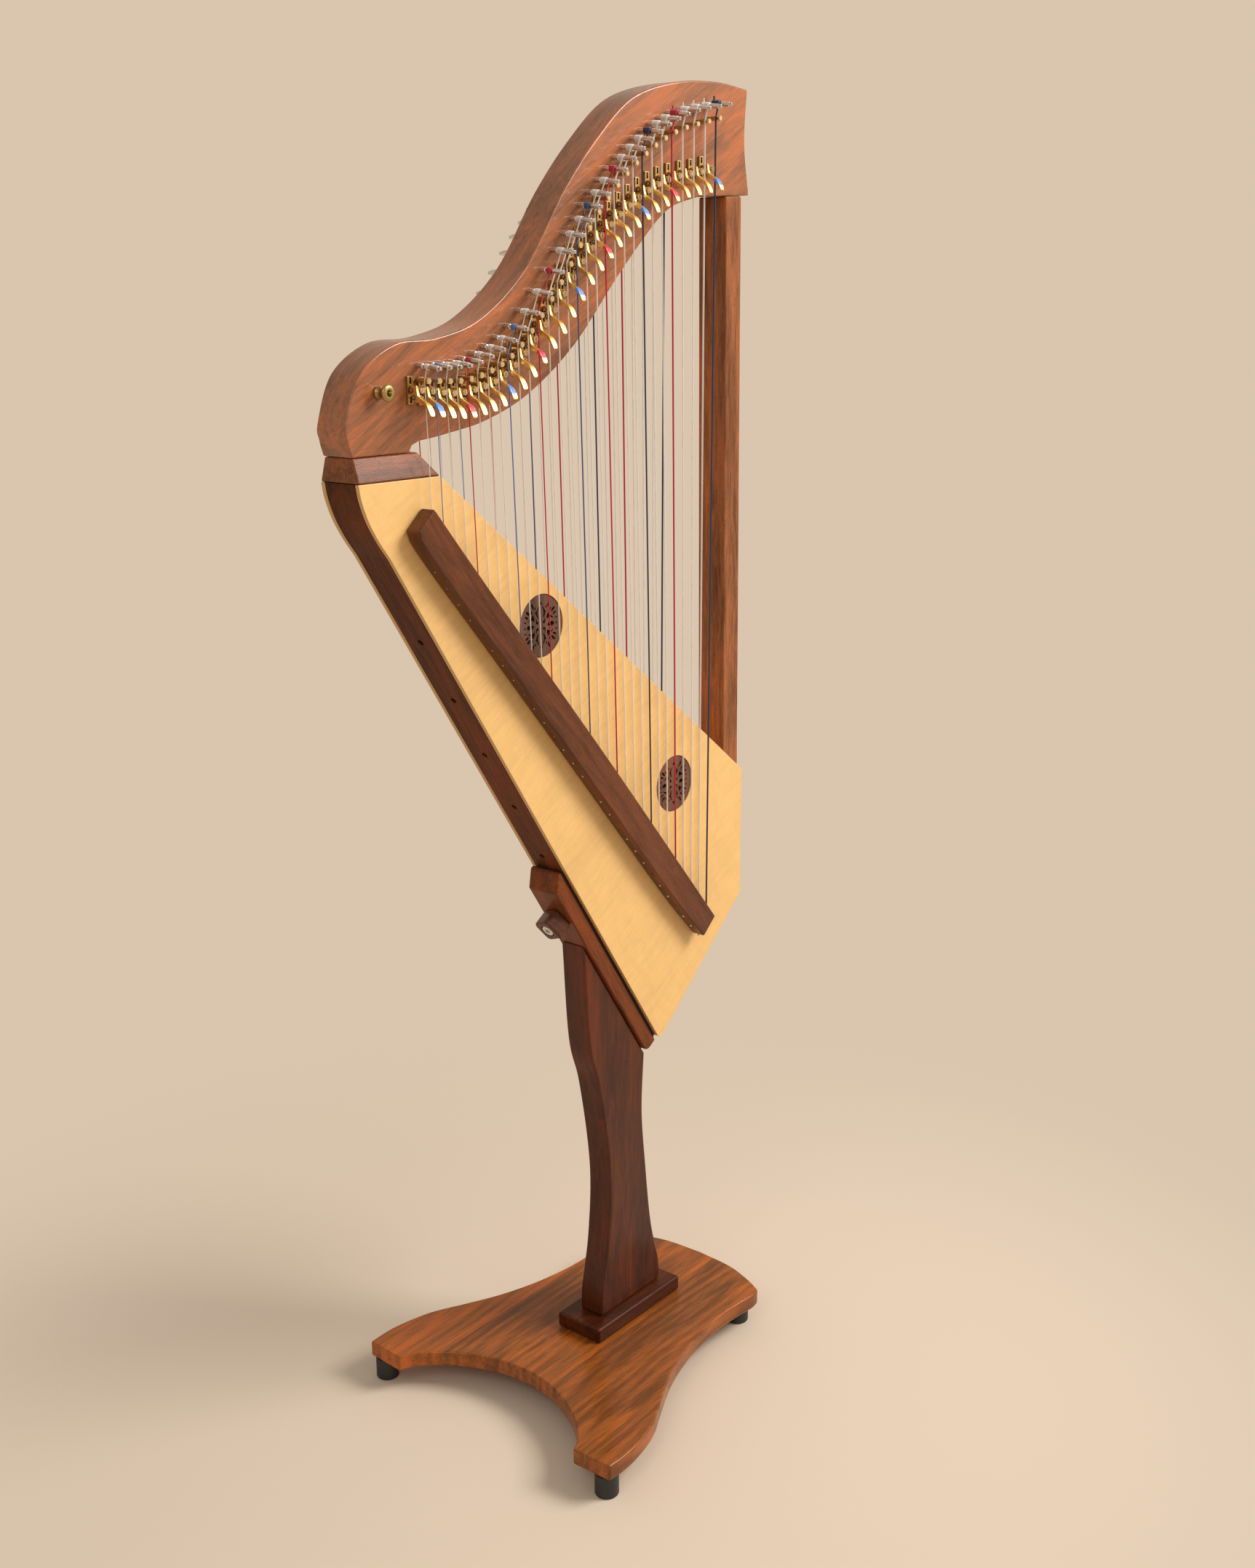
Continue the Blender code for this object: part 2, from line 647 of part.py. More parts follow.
def make_sound_box():
    side_outline = [
        (BOX_TOP_RIGHT_X, BOX_TOP_Z),
        *back_curve(),
        *tip_round(),
        (BOX_FRONT_X, belly_z(BOX_FRONT_X)),
        (BOX_FRONT_X, BOX_FRONT_TOP_Z),
    ]
    hole = ROSETTE_RADIUS + SEAT
    loops = [side_outline]
    loops += [circle(place, hole, ROSETTE_SIDES) for place in (ROSETTE_UPPER, ROSETTE_LOWER)]
    for side, sign in (("near", -1), ("far", 1)):
        mesh = outline_mesh(loops, sign * PANEL_INNER, sign * BOX_HALF_WIDTH)
        new_object(f"side_panel_{side}", mesh, birch_ply())

    shoulder = back_curve()
    inside = []
    for before, place, after in zip(shoulder, shoulder[1:], shoulder[2:] + [on_back(0.05, 0)]):
        run = (Vector(after) - Vector(before)).normalized()
        inside.append((place[0] - run.y * BACK_BOARD_THICK, place[1] + run.x * BACK_BOARD_THICK))
    outer_end, inner_end = tip_joint(0.0)
    board_outline = [
        *shoulder,
        *tip_round(),
        outer_end,
        inner_end,
        *reversed(inside),
        (BACK_CURVE[0][0] + BACK_BOARD_THICK, BOX_TOP_Z),
    ]
    back = board("back_board", [board_outline], BOARD_HALF_WIDTH, dark_walnut())
    holes = []
    for number in range(INSERT_COUNT - 1):
        hole_mesh = turned_mesh([(0.0, 0.02), (INSERT_RADIUS, 0.02), (INSERT_RADIUS, -0.02),
                                 (0.0, -0.02)], 10)
        holes.append((hole_mesh, across_back(INSERT_FIRST + number * INSERT_PITCH)))
    cutter = new_object("insert_holes", stamped_mesh(holes), nickel(), "cutters")
    boolean(back, cutter, "DIFFERENCE")
    boolean(back, bpy.data.objects["bolt_hole"], "DIFFERENCE")

    cut_front = BOX_FRONT_X - PILLAR_DEPTH
    pillar_left = pillar_x(front_z(cut_front), 0) - SEAT
    block_edge = BOX_TOP_RIGHT_X
    front_outline = [
        (block_edge, BOX_TOP_Z),
        (block_edge - FRONT_BOARD_THICK, BOX_TOP_Z),
        (pillar_left, front_z(pillar_left, FRONT_BOARD_THICK)),
        (pillar_left, front_z(pillar_left)),
    ]
    board("front_board", [front_outline], BOARD_HALF_WIDTH, birch_ply())
    outer_start, inner_start = tip_joint(2 * SEAT)
    belly_outline = [
        outer_start,
        (BOX_FRONT_X, belly_z(BOX_FRONT_X)),
        (BOX_FRONT_X, belly_z(BOX_FRONT_X, BELLY_BOARD_THICK)),
        inner_start,
    ]
    board("belly_board", [belly_outline], BOARD_HALF_WIDTH, birch_ply())


def petal(centre, angle):
    """One pierced petal of a rosette, pointed at both ends."""
    middle = (PETAL_INNER + PETAL_OUTER) / 2
    reach = (PETAL_OUTER - PETAL_INNER) / 2
    corners = []
    for step in range(PETAL_POINTS):
        turn = 2 * math.pi * step / PETAL_POINTS
        along = middle + reach * math.cos(turn)
        across = PETAL_HALF_WIDTH * math.sin(turn) * (1.0 + 0.3 * math.cos(turn))
        corners.append((
            centre[0] + along * math.cos(angle) - across * math.sin(angle),
            centre[1] + along * math.sin(angle) + across * math.cos(angle),
        ))
    return corners


def make_rosettes():
    for height, centre in (("upper", ROSETTE_UPPER), ("lower", ROSETTE_LOWER)):
        loops = [
            circle(centre, ROSETTE_RADIUS, ROSETTE_SIDES),
            circle(centre, ROSETTE_EYE_RADIUS, 6),
        ]
        for number in range(PETALS):
            loops.append(petal(centre, 2 * math.pi * (number + 0.5) / PETALS))
        for side, sign in (("near", -1), ("far", 1)):
            outer = BOX_HALF_WIDTH - ROSETTE_RECESS
            mesh = outline_mesh(loops, sign * outer, sign * (outer - ROSETTE_THICK))
            new_object(f"rosette_{height}_{side}", mesh, dark_walnut())


def make_shoulder_block():
    """The block is as wide as the box below, and its corners taper in towards the neck."""
    left = BACK_CURVE[0][0]
    right = BOX_TOP_RIGHT_X
    mesh = box_mesh((left, -BOX_HALF_WIDTH, BLOCK_BOTTOM_Z), (right, BOX_HALF_WIDTH, BLOCK_TOP_Z))
    for vert in mesh.vertices:
        if vert.co.z > BLOCK_BOTTOM_Z + BLOCK_HEIGHT / 2:
            vert.co.y -= math.copysign(BLOCK_CHAMFER, vert.co.y)
            if vert.co.x > (left + right) / 2:
                vert.co.x -= BLOCK_SLANT
    block = new_object("shoulder_block", mesh, red_walnut())
    bevel(block, BLOCK_CHAMFER / 4, 2, math.radians(20))


def neck_bottom():
    """The neck's lower edge, from under the pillar's place to the tail."""
    foot = NECK_TAIL_X + 0.005 + NECK_FOOT_LENGTH
    curve = smooth([NECK_PILLAR_LOW, *NECK_BOTTOM], 2)
    return [*curve, (foot + 0.0035, NECK_BOTTOM[-1][1] - 0.0035), (foot, NECK_FOOT_Z)]


def make_pillar():
    """A post from the belly board up to the neck's head, cut along both."""
    head_slope = (NECK_HEAD_LOW[1] - NECK_PILLAR_LOW[1]) / (NECK_HEAD_LOW[0] - NECK_PILLAR_LOW[0])
    outline = []
    for side in (0, 1):
        top_x = pillar_x(NECK_PILLAR_LOW[1], side)
        top_z = NECK_PILLAR_LOW[1] + (top_x - NECK_PILLAR_LOW[0]) * head_slope - SEAT
        low_x = BOX_FRONT_X - PILLAR_DEPTH * (1 - side)
        low_z = belly_z(low_x, BELLY_BOARD_THICK) + SEAT / math.cos(BELLY_ANGLE)
        column = [(low_x, low_z), (low_x, BOX_FRONT_TOP_Z), (top_x, top_z)]
        outline += column if side == 0 else column[::-1]
    pillar = board("pillar", [outline], PILLAR_WIDTH / 2, brown_wood())
    bevel(pillar, PILLAR_EDGE, 2, math.radians(40))


def pins_at():
    """For each string from the treble: its share along the row, its bridge pin and tuning pin."""
    bridge = smooth(BRIDGE_CURVE, 12)
    tuning = smooth(TUNING_CURVE, 12)
    shares = [number / (STRINGS - 1) for number in range(STRINGS)]
    return [(share, at_share(bridge, share), at_share(tuning, share)) for share in shares]


def string_radius(share):
    return STRING_TREBLE_RADIUS + (STRING_BASS_RADIUS - STRING_TREBLE_RADIUS) * share


def string_base(share):
    """Where a string leaves its rail's middle line, in x and z."""
    x = STRING_BASE_TREBLE_X + (STRING_BASE_BASS_X - STRING_BASE_TREBLE_X) * share
    upper = smooth(RAIL_UPPER, 4)
    lower = smooth(RAIL_LOWER[::-1], 4)
    return x, (height_at(upper, x) + height_at(lower, x)) / 2


def height_at(curve, x):
    """The height of an outline at an x, and of its end beyond its ends."""
    for (x0, z0), (x1, z1) in zip(curve, curve[1:]):
        if min(x0, x1) <= x <= max(x0, x1):
            return z0 + (z1 - z0) * (x - x0) / (x1 - x0)
    return curve[0][1] if abs(x - curve[0][0]) < abs(x - curve[-1][0]) else curve[-1][1]


def string_top(share, bridge):
    """The x of a string's straight run, beside its bridge pin's groove."""
    return bridge.x - BRIDGE_GROOVE_RADIUS - STRING_CLEAR - string_radius(share)


def lever_pivot(share, bridge):
    """The x and z of a lever's pivot."""
    length = bridge.y - string_base(share)[1]
    side = LEVER_SIDE_TREBLE + (LEVER_SIDE_BASS - LEVER_SIDE_TREBLE) * share
    return string_top(share, bridge) - side, bridge.y - SEMITONE * length


def make_string_rails():
    rail = smooth(RAIL_UPPER, 2) + smooth(RAIL_LOWER, 2)
    for side, sign in (("near", -1), ("far", 1)):
        mesh = outline_mesh([rail], sign * RAIL_INNER, sign * RAIL_OUTER)
        name = f"string_rail_{side}"
        body = new_object(name, mesh, dark_walnut())
        bevel(body, RAIL_EDGE, 1, math.radians(40))
        strings = bpy.data.objects.new("strings", string_curve(sign))
        bpy.context.scene.collection.objects.link(strings)
        row = new_object(f"strings_{side}", clean_mesh(evaluated_mesh(strings), False),
                         nickel(), "cutters")
        boolean(body, row, "UNION")


def string_curve(sign):
    """Each string runs from inside its rail up to its bridge pin and on to its tuning pin."""
    curve = bpy.data.curves.new("strings", "CURVE")
    curve.dimensions = "3D"
    curve.bevel_depth = 1.0
    curve.bevel_resolution = 0
    curve.use_fill_caps = True
    y = sign * STRING_Y
    for share, bridge, tuning in pins_at():
        radius = string_radius(share)
        droop = (STRING_Y - NECK_HALF) * math.sin(TUNING_DROOP)
        near = BRIDGE_GROOVE_RADIUS + STRING_CLEAR + radius
        far = TUNING_RADIUS + STRING_CLEAR + radius
        across = tuning.x - bridge.x
        up = tuning.y - droop - bridge.y
        lean = math.atan2(across, up) - math.asin((far - near) / math.hypot(across, up))
        base_x, base_z = string_base(share)
        bend = (bridge.x - near, bridge.y + near * math.tan(lean / 2))
        end = (
            tuning.x - far * math.cos(lean),
            tuning.y - droop + far * math.sin(lean),
        )
        spline = curve.splines.new("POLY")
        spline.points.add(2)
        for point, (x, z) in zip(spline.points, ((base_x, base_z), bend, end)):
            point.co = (x, y, z, 1.0)
            point.radius = radius
    return curve


def bridge_pin():
    """A bridge pin whose groove holds the string."""
    groove = STRING_Y - NECK_HALF
    end = groove + BRIDGE_PAST_GROOVE
    return turned_mesh([(0.0, end), (BRIDGE_END_RADIUS, end), (BRIDGE_GROOVE_RADIUS, groove),
                        (BRIDGE_ROOT_RADIUS, -PIN_ROOT), (0.0, -PIN_ROOT)], PIN_SIDES)


def tuning_pin():
    """A round pin with a square end for the tuning key."""
    shank = TUNING_LENGTH - TUNING_HEAD_LENGTH
    pin = turned_mesh([(0.0, shank), (TUNING_RADIUS, shank), (TUNING_RADIUS, -PIN_ROOT),
                       (0.0, -PIN_ROOT)], PIN_SIDES)
    half = TUNING_HEAD_SIDE / 2
    head = box_mesh((-half, -half, shank - 0.001), (half, half, TUNING_LENGTH))
    return joined_mesh(pin, head)


def channel():
    """A lever's channel plate: X is along the neck, Y is up and Z is out of the neck, and the
    lever's pivot is over the middle."""
    low = Vector((-CHANNEL_WIDTH / 2, -CHANNEL_HEIGHT / 2, -SEAT))
    high = Vector((CHANNEL_WIDTH / 2, CHANNEL_HEIGHT / 2, CHANNEL_DEPTH))
    slot_low = low + Vector((CHANNEL_WALL, -SEAT, CHANNEL_WALL + SEAT))
    slot_high = high + Vector((-CHANNEL_WALL, SEAT, SEAT))
    return joined_mesh(box_mesh(low, high), box_mesh(slot_low, slot_high), "DIFFERENCE")


def handle(hub_width):
    """A lever's handle about its pivot: a hub, a bent strip and a paddle that hangs outwards."""
    hub = turned_mesh([(0.0, hub_width / 2), (HUB_RADIUS, hub_width / 2),
                       (HUB_RADIUS, -hub_width / 2), (0.0, -hub_width / 2)], PIN_SIDES)
    hub.transform(Matrix.Rotation(math.pi / 2, 4, "Y"))
    path = [(0.0, 0.0), HANDLE_BEND, PADDLE_START, PADDLE_END]
    widths = [HANDLE_WIDTH, HANDLE_WIDTH, PADDLE_WIDTH, PADDLE_TIP_WIDTH]
    thicks = [HANDLE_THICK, HANDLE_THICK, PADDLE_THICK, PADDLE_THICK]
    cage = bmesh.new()
    rings = []
    for index, (width, thick) in enumerate(zip(widths, thicks)):
        back = Vector(path[max(index - 1, 0)])
        run = (Vector(path[min(index + 1, len(path) - 1)]) - back).normalized()
        normal = Vector((-run.y, run.x))
        ring = []
        for x, lift in ((-width, -thick), (width, -thick), (width, thick), (-width, thick)):
            place = Vector(path[index]) + normal * lift / 2
            ring.append(cage.verts.new((x / 2, place.y, place.x)))
        rings.append(ring)
    for first, second in zip(rings, rings[1:]):
        for index in range(4):
            after = (index + 1) % 4
            cage.faces.new((first[index], first[after], second[after], second[index]))
    cage.faces.new(rings[0][::-1])
    cage.faces.new(rings[-1])
    strip = bpy.data.meshes.new("strip")
    cage.to_mesh(strip)
    cage.free()
    return joined_mesh(hub, clean_mesh(strip))


def lever_frame(x, z, side):
    """A lever's frame on a neck face: X along the neck, Y up and Z out. The far one is mirrored."""
    near = Matrix.Translation((x, -NECK_HALF, z)) @ Matrix.Rotation(math.pi / 2, 4, "X")
    return near if side < 0 else Matrix.Diagonal((1.0, -1.0, 1.0, 1.0)) @ near


def make_levers_and_pins(neck):
    pin = bridge_pin()
    tuner = tuning_pin()
    plate = channel()
    top = STRING_Y - NECK_HALF - STRING_BASS_RADIUS - 2 * STRING_CLEAR
    barrel = turned_mesh([(0.0, top), (BARREL_RADIUS, top), (BARREL_RADIUS, -PIN_ROOT),
                          (0.0, -PIN_ROOT)], PIN_SIDES)
    moving = handle(HUB_WIDTH)
    fixed = handle(CHANNEL_WIDTH - 2 * CHANNEL_WALL + 2 * SEAT)
    pins = []
    plates = []
    barrels = []
    handles = []
    for share, bridge, tuning in pins_at():
        pivot_x, pivot_z = lever_pivot(share, bridge)
        for side in (-1, 1):
            pins.append((pin, out_of_neck(bridge.x, bridge.y, side)))
            droop = Matrix.Rotation(side * TUNING_DROOP, 4, "X")
            pins.append((tuner, out_of_neck(tuning.x, tuning.y, side) @ droop))
            frame = lever_frame(pivot_x, pivot_z, side)
            plates.append((plate, frame))
            barrel_x = string_top(share, bridge) + BARREL_SIDE
            barrels.append((barrel, out_of_neck(barrel_x, pivot_z, side)))
        lifted = Matrix.Translation((0.0, 0.0, PIVOT_DEPTH))
        handles.append((fixed, lever_frame(pivot_x, pivot_z, 1) @ lifted))
        number = round(share * (STRINGS - 1)) + 1
        turned = lever_frame(0.0, 0.0, -1).to_3x3().to_4x4()
        own = moving.copy()
        own.transform(turned)
        lever = new_object(f"lever_{number:02d}", own, gilt_brass())
        lever.location = (pivot_x, -NECK_HALF - PIVOT_DEPTH, pivot_z)
    for name, copies in (("pins", pins), ("lever_plates", plates), ("barrels", barrels),
                         ("far_handles", handles)):
        operand = new_object(name, stamped_mesh(copies), gilt_brass(), "cutters")
        boolean(neck, operand, "UNION")


def make_neck():
    foot_x = NECK_TAIL_X + 0.005
    tail = [(foot_x, NECK_FOOT_Z), (NECK_TAIL_X + 0.001, NECK_FOOT_Z + 0.0135)]
    top = smooth([*NECK_TOP, NECK_HEAD_TOP], 2)
    head = smooth([NECK_HEAD_TOP, NECK_HEAD_WAIST, NECK_HEAD_LOW], 3)[1:-1]
    outline = [*tail, *top, *head, NECK_HEAD_LOW, *neck_bottom()]
    neck = board("neck", [outline], NECK_HALF, red_walnut())
    bevel(neck, NECK_ROUND, 2, math.radians(50))
    make_levers_and_pins(neck)


def make_strap_button():
    profile = [
        (0.0, BUTTON_LENGTH - 0.004),
        (BUTTON_HOLE_RADIUS, BUTTON_LENGTH - 0.004),
        (BUTTON_HOLE_RADIUS * 1.5, BUTTON_LENGTH),
        (BUTTON_HEAD_RADIUS * 0.85, BUTTON_LENGTH),
        (BUTTON_HEAD_RADIUS, BUTTON_LENGTH - 0.0015),
        (BUTTON_HEAD_RADIUS * 0.9, BUTTON_LENGTH - 0.0045),
        (BUTTON_WAIST_RADIUS, BUTTON_LENGTH * 0.45),
        (BUTTON_BASE_RADIUS, 0.0015),
        (BUTTON_BASE_RADIUS, SEAT),
        (0.0, SEAT),
    ]
    button = new_object("strap_button", turned_mesh(profile, BUTTON_STEPS), gilt_brass())
    button.matrix_world = out_of_neck(*BUTTON_PLACE, -1)


def main():
    for obj in list(bpy.data.objects):
        bpy.data.objects.remove(obj)
    make_feet()
    make_base()
    make_pedestal()
    make_cradle()
    make_sound_box()
    make_rosettes()
    make_shoulder_block()
    make_pillar()
    make_neck()
    make_string_rails()
    make_strap_button()
    origin = bpy.data.objects.new("harp_origin", None)
    collection_named("double_strung_harp").objects.link(origin)
    for obj in collection_named("double_strung_harp").objects:
        if obj is not origin:
            obj.parent = origin
    for obj in collection_named("cutters").objects:
        obj.parent = origin
    origin.location.x = -(NECK_TAIL_X + NECK_HEAD_X) / 2


main()
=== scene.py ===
"""A double-strung harp on its pedestal stand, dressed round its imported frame.

The harp is drawn in metres from the middle of its plinth on the floor, and ORIGIN_X moves every
finished piece to the frame's origin. X runs from the treble end to the pillar, the near row of
strings is on the -Y side, and Z is up.
"""

import math

import bmesh
import bpy
from bpy.props import FloatProperty, FloatVectorProperty, IntProperty, PointerProperty
from mathutils import Matrix, Vector


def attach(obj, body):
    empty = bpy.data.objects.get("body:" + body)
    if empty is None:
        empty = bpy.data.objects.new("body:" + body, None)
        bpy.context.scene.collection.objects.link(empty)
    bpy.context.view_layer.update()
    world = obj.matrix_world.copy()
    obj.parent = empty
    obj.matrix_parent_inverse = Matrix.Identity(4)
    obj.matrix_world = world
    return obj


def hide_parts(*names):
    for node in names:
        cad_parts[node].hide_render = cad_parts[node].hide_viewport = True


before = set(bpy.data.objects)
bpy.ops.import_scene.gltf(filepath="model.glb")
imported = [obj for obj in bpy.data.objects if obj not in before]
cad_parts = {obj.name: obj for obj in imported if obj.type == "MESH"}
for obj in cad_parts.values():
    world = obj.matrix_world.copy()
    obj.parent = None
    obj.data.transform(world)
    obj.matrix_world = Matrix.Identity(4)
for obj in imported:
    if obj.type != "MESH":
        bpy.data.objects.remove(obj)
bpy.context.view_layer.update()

bl_info = {
    "name": "Double-strung harp",
    "version": (1, 0, 0),
    "blender": (4, 5, 0),
    "location": "3D View > Sidebar > Harp",
    "description": "Makes the finished pieces of a double-strung harp on a pedestal stand",
    "category": "Object",
}

ORIGIN_X = 0.0890
SEAT = 0.0003
SIDES = (("near", -1), ("far", 1))

# Stand
BASE_BOTTOM_Z = 0.0259
BASE_TOP_Z = 0.0449
BASE_SIDE = [
    (0.1622, 0.0000), (0.1588, 0.0480), (0.1490, 0.0800), (0.1392, 0.1015), (0.1345, 0.1078),
    (0.1260, 0.1100), (0.1140, 0.1098), (0.0730, 0.1062), (0.0270, 0.1080), (-0.0230, 0.1168),
    (-0.0700, 0.1320), (-0.1100, 0.1508), (-0.1500, 0.1705), (-0.1880, 0.1800), (-0.2130, 0.1822),
    (-0.2372, 0.1812),
]
BASE_BACK = [(-0.2392, 0.1320), (-0.2262, 0.1262), (-0.2115, 0.1140), (-0.1935, 0.0910),
             (-0.1795, 0.0640), (-0.1690, 0.0330), (-0.1655, 0.0000)]
FEET = {"back": (-0.2254, 0.1671), "front": (0.1253, 0.0850)}
PLINTH_LOW = (-0.0762, -0.0319, 0.0452)
PLINTH_HIGH = (0.0762, 0.0319, 0.0635)
PEDESTAL_BACK = [(-0.0528, 0.0638), (-0.0510, 0.0950), (-0.0400, 0.1500), (-0.0345, 0.2200),
                 (-0.0390, 0.2800), (-0.0530, 0.3590), (-0.0690, 0.4170), (-0.0800, 0.4700)]
PEDESTAL_FRONT = [(0.0560, 0.0638), (0.0550, 0.0930), (0.0410, 0.1490), (0.0306, 0.2330),
                  (0.0248, 0.3010)]
PEDESTAL_TOP_X = (-0.0775, 0.0287)
PEDESTAL_HALF = 0.0164

# Sound box
BOX_HALF = 0.0248
PANEL_THICK = 0.0050
BACK_ANGLE = math.radians(57.0)
BACK_TOP = (-0.3470, 0.9910)
BACK_CURVE = [(-0.3820, 1.0607), (-0.3790, 1.0460), (-0.3715, 1.0270), (-0.3600, 1.0080)]
BOX_TOP_Z = 1.0607
BOX_TOP_RIGHT_X = -0.2807
BOX_TIP_X = 0.0467
BELLY_ANGLE = math.radians(41.5)
BOX_FRONT_X = 0.2035
BOX_FRONT_TOP_Z = 0.6779
BOARD_THICK = 0.0080
INSERT_PITCH = 0.0762
INSERT_FIRST = 0.1045
INSERTS = 6
ROSETTES = {"upper": (-0.1460, 0.9010), "lower": (0.0725, 0.6885)}
ROSETTE_RADIUS = 0.0320
ROSETTE_HOLE = 0.0323
ROSETTE_SUNK = 0.0010
ROSETTE_THICK = 0.0030

# Neck and pillar
NECK_HALF = 0.0190
NECK_FOOT_Z = 1.0838
NECK_TAIL = [(-0.3830, 1.0838), (-0.3870, 1.0973)]
NECK_TOP = [(-0.3880, 1.1130), (-0.3690, 1.1550), (-0.3260, 1.1798), (-0.2730, 1.1840),
            (-0.2150, 1.2005), (-0.1530, 1.2450), (-0.0970, 1.3160), (-0.0440, 1.3690),
            (0.0100, 1.4085), (0.0800, 1.4280), (0.1500, 1.4335), (0.2050, 1.4300)]
NECK_HEAD = [(0.2050, 1.4300), (0.2012, 1.3760), (0.2100, 1.3226)]
NECK_BOTTOM = [(0.1400, 1.3194), (0.1090, 1.3160), (0.0590, 1.2990), (-0.0124, 1.2395),
               (-0.0810, 1.1740), (-0.1470, 1.1305), (-0.2095, 1.1070), (-0.2680, 1.0970),
               (-0.3000, 1.0934)]
NECK_FOOT = [(-0.3095, 1.0899), (-0.3130, 1.0838)]
PILLAR_DEPTH = 0.0288
PILLAR_HALF = 0.0185
PILLAR_LEAN = 0.0095
SHOULDER_TAPER = (0.0220, 0.0067)

# Strings, rails and pins
STRINGS = 30
STRING_Y = 0.03385
RAIL_INNER = 0.0251
RAIL_OUTER = 0.0426
RAIL_UPPER = [(-0.3070, 1.0345), (-0.2638, 0.9828), (-0.1712, 0.8744), (-0.0560, 0.7400),
              (0.0544, 0.6081), (0.1298, 0.5175)]
RAIL_LOWER = [(0.1080, 0.4985), (0.0413, 0.5719), (-0.0850, 0.7220), (-0.2132, 0.8730),
              (-0.3120, 0.9885), (-0.3285, 1.0150)]
STRING_BASE_X = (-0.3015, 0.1225)
BRIDGE_CURVE = [(-0.3038, 1.1472), (-0.2473, 1.1473), (-0.1901, 1.1682), (-0.1304, 1.2230),
                (-0.0716, 1.2913), (-0.0115, 1.3423), (0.0535, 1.3768), (0.1309, 1.3956)]
TUNING_CURVE = [(-0.2996, 1.1604), (-0.2440, 1.1650), (-0.1790, 1.1960), (-0.1085, 1.2690),
                (-0.0547, 1.3231), (0.0014, 1.3673), (0.0618, 1.3966), (0.1356, 1.4113)]
TUNING_DROOP = math.radians(5.0)
SEMITONE = 1.0 - 2.0 ** (-1.0 / 12.0)
LEVER_SIDE = (0.0052, 0.0075)
PIVOT_OUT = 0.0060
OCTAVE = 7
RED_PHASE = 5
BLUE_PHASE = 2
BUTTON_PLACE = (-0.3490, 1.1385)

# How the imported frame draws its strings, which sets where levers and bridge pins are
CAD_GROOVE_RADIUS = 0.0017
CAD_STRING_CLEAR = 0.0004
CAD_STRING_RADII = (0.00045, 0.00105)

# Cradle and knob, measured down the back of the sound box and out from it
CRADLE_HIGH = 0.4260
CRADLE_LOW = 0.7220
CRADLE_THICK = 0.0190
CRADLE_HALF = 0.0203
PAD_THICK = 0.0021
KNOB_SIDE = 0.0265
KNOB_HEIGHT = 0.0200
KNOB_TURN = math.radians(25.0)

# The inner joint of the back and belly boards, and the plies along a panel's edge
BACK_JOINT = [(0.05309, 0.39041), (0.04945, 0.39520)]
PLY = 0.0017
PLY_DARK = (0.300, 0.150, 0.060)

# What the strings run round, and from which share of the row a tail stands up at the tuning pin
BRIDGE_GROOVE = 0.0017
PIN_SHANK = 0.0020
TAIL_SHARE = 0.84
TAIL_LENGTH = 0.0046

# The strip of a lever and the walls of its sleeve, in millimetres
STRIP_THICK = 1.1
SLEEVE_WALL = 0.25
SLEEVE_END_WALL = 0.15

# The camera that was fitted to the photograph: place, yaw, pitch and roll in degrees, and lens
CAMERA_PLACE = (-1.34654, -1.18628, 1.22642)
CAMERA_TURN = (50.81, 15.798, 0.262)
CAMERA_LENS = 50.32
CAMERA_SENSOR = 36.0
LAMPS_AIM = (0, 0, 0.85)


class HarpSizes(bpy.types.PropertyGroup):
    """Sizes of the finished pieces that a maker would change."""

    neck_round: FloatProperty(
        name="Neck rounding", description="Radius along both edges of the neck",
        default=0.0070, min=0.001, unit="LENGTH")
    board_round: FloatProperty(
        name="Board rounding", description="Radius along the edges of the other boards",
        default=0.0022, min=0.0002, unit="LENGTH")
    ply_round: FloatProperty(
        name="Panel rounding", description="Radius along the edges of the plywood panels",
        default=0.0008, min=0.0001, unit="LENGTH")
    treble_string: FloatProperty(
        name="Treble string", description="Radius of the thinnest string",
        default=0.00042, min=0.0001, unit="LENGTH")
    bass_string: FloatProperty(
        name="Bass string", description="Radius of the thickest string",
        default=0.00100, min=0.0001, unit="LENGTH")
    windings: IntProperty(
        name="Windings", description="Turns of each string round its tuning pin",
        default=4, min=1, max=8)


class HarpColours(bpy.types.PropertyGroup):
    """Colours of the woods, metals and strings."""

    neck_wood: FloatVectorProperty(
        name="Neck wood", description="Mid tone of the neck, block and pillar",
        default=(0.285, 0.102, 0.040), subtype="COLOR", min=0, max=1)
    dark_wood: FloatVectorProperty(
        name="Dark wood", description="Mid tone of the rails, back, cradle and rosettes",
        default=(0.130, 0.037, 0.012), subtype="COLOR", min=0, max=1)
    stand_wood: FloatVectorProperty(
        name="Stand wood", description="Mid tone of the pedestal and plinth",
        default=(0.072, 0.016, 0.004), subtype="COLOR", min=0, max=1)
    base_wood: FloatVectorProperty(
        name="Base wood", description="Mid tone of the base board",
        default=(0.285, 0.079, 0.012), subtype="COLOR", min=0, max=1)
    birch: FloatVectorProperty(
        name="Birch", description="Mid tone of the panels",
        default=(0.800, 0.480, 0.172), subtype="COLOR", min=0, max=1)
    brass: FloatVectorProperty(
        name="Brass", description="Colour of the levers and bridge pins",
        default=(0.900, 0.590, 0.210), subtype="COLOR", min=0, max=1)
    red: FloatVectorProperty(
        name="Red", description="Colour of the C strings and their lever sleeves",
        default=(0.450, 0.012, 0.040), subtype="COLOR", min=0, max=1)
    sleeve_blue: FloatVectorProperty(
        name="Sleeve blue", description="Colour of the sleeves on the F levers",
        default=(0.100, 0.300, 0.790), subtype="COLOR", min=0, max=1)


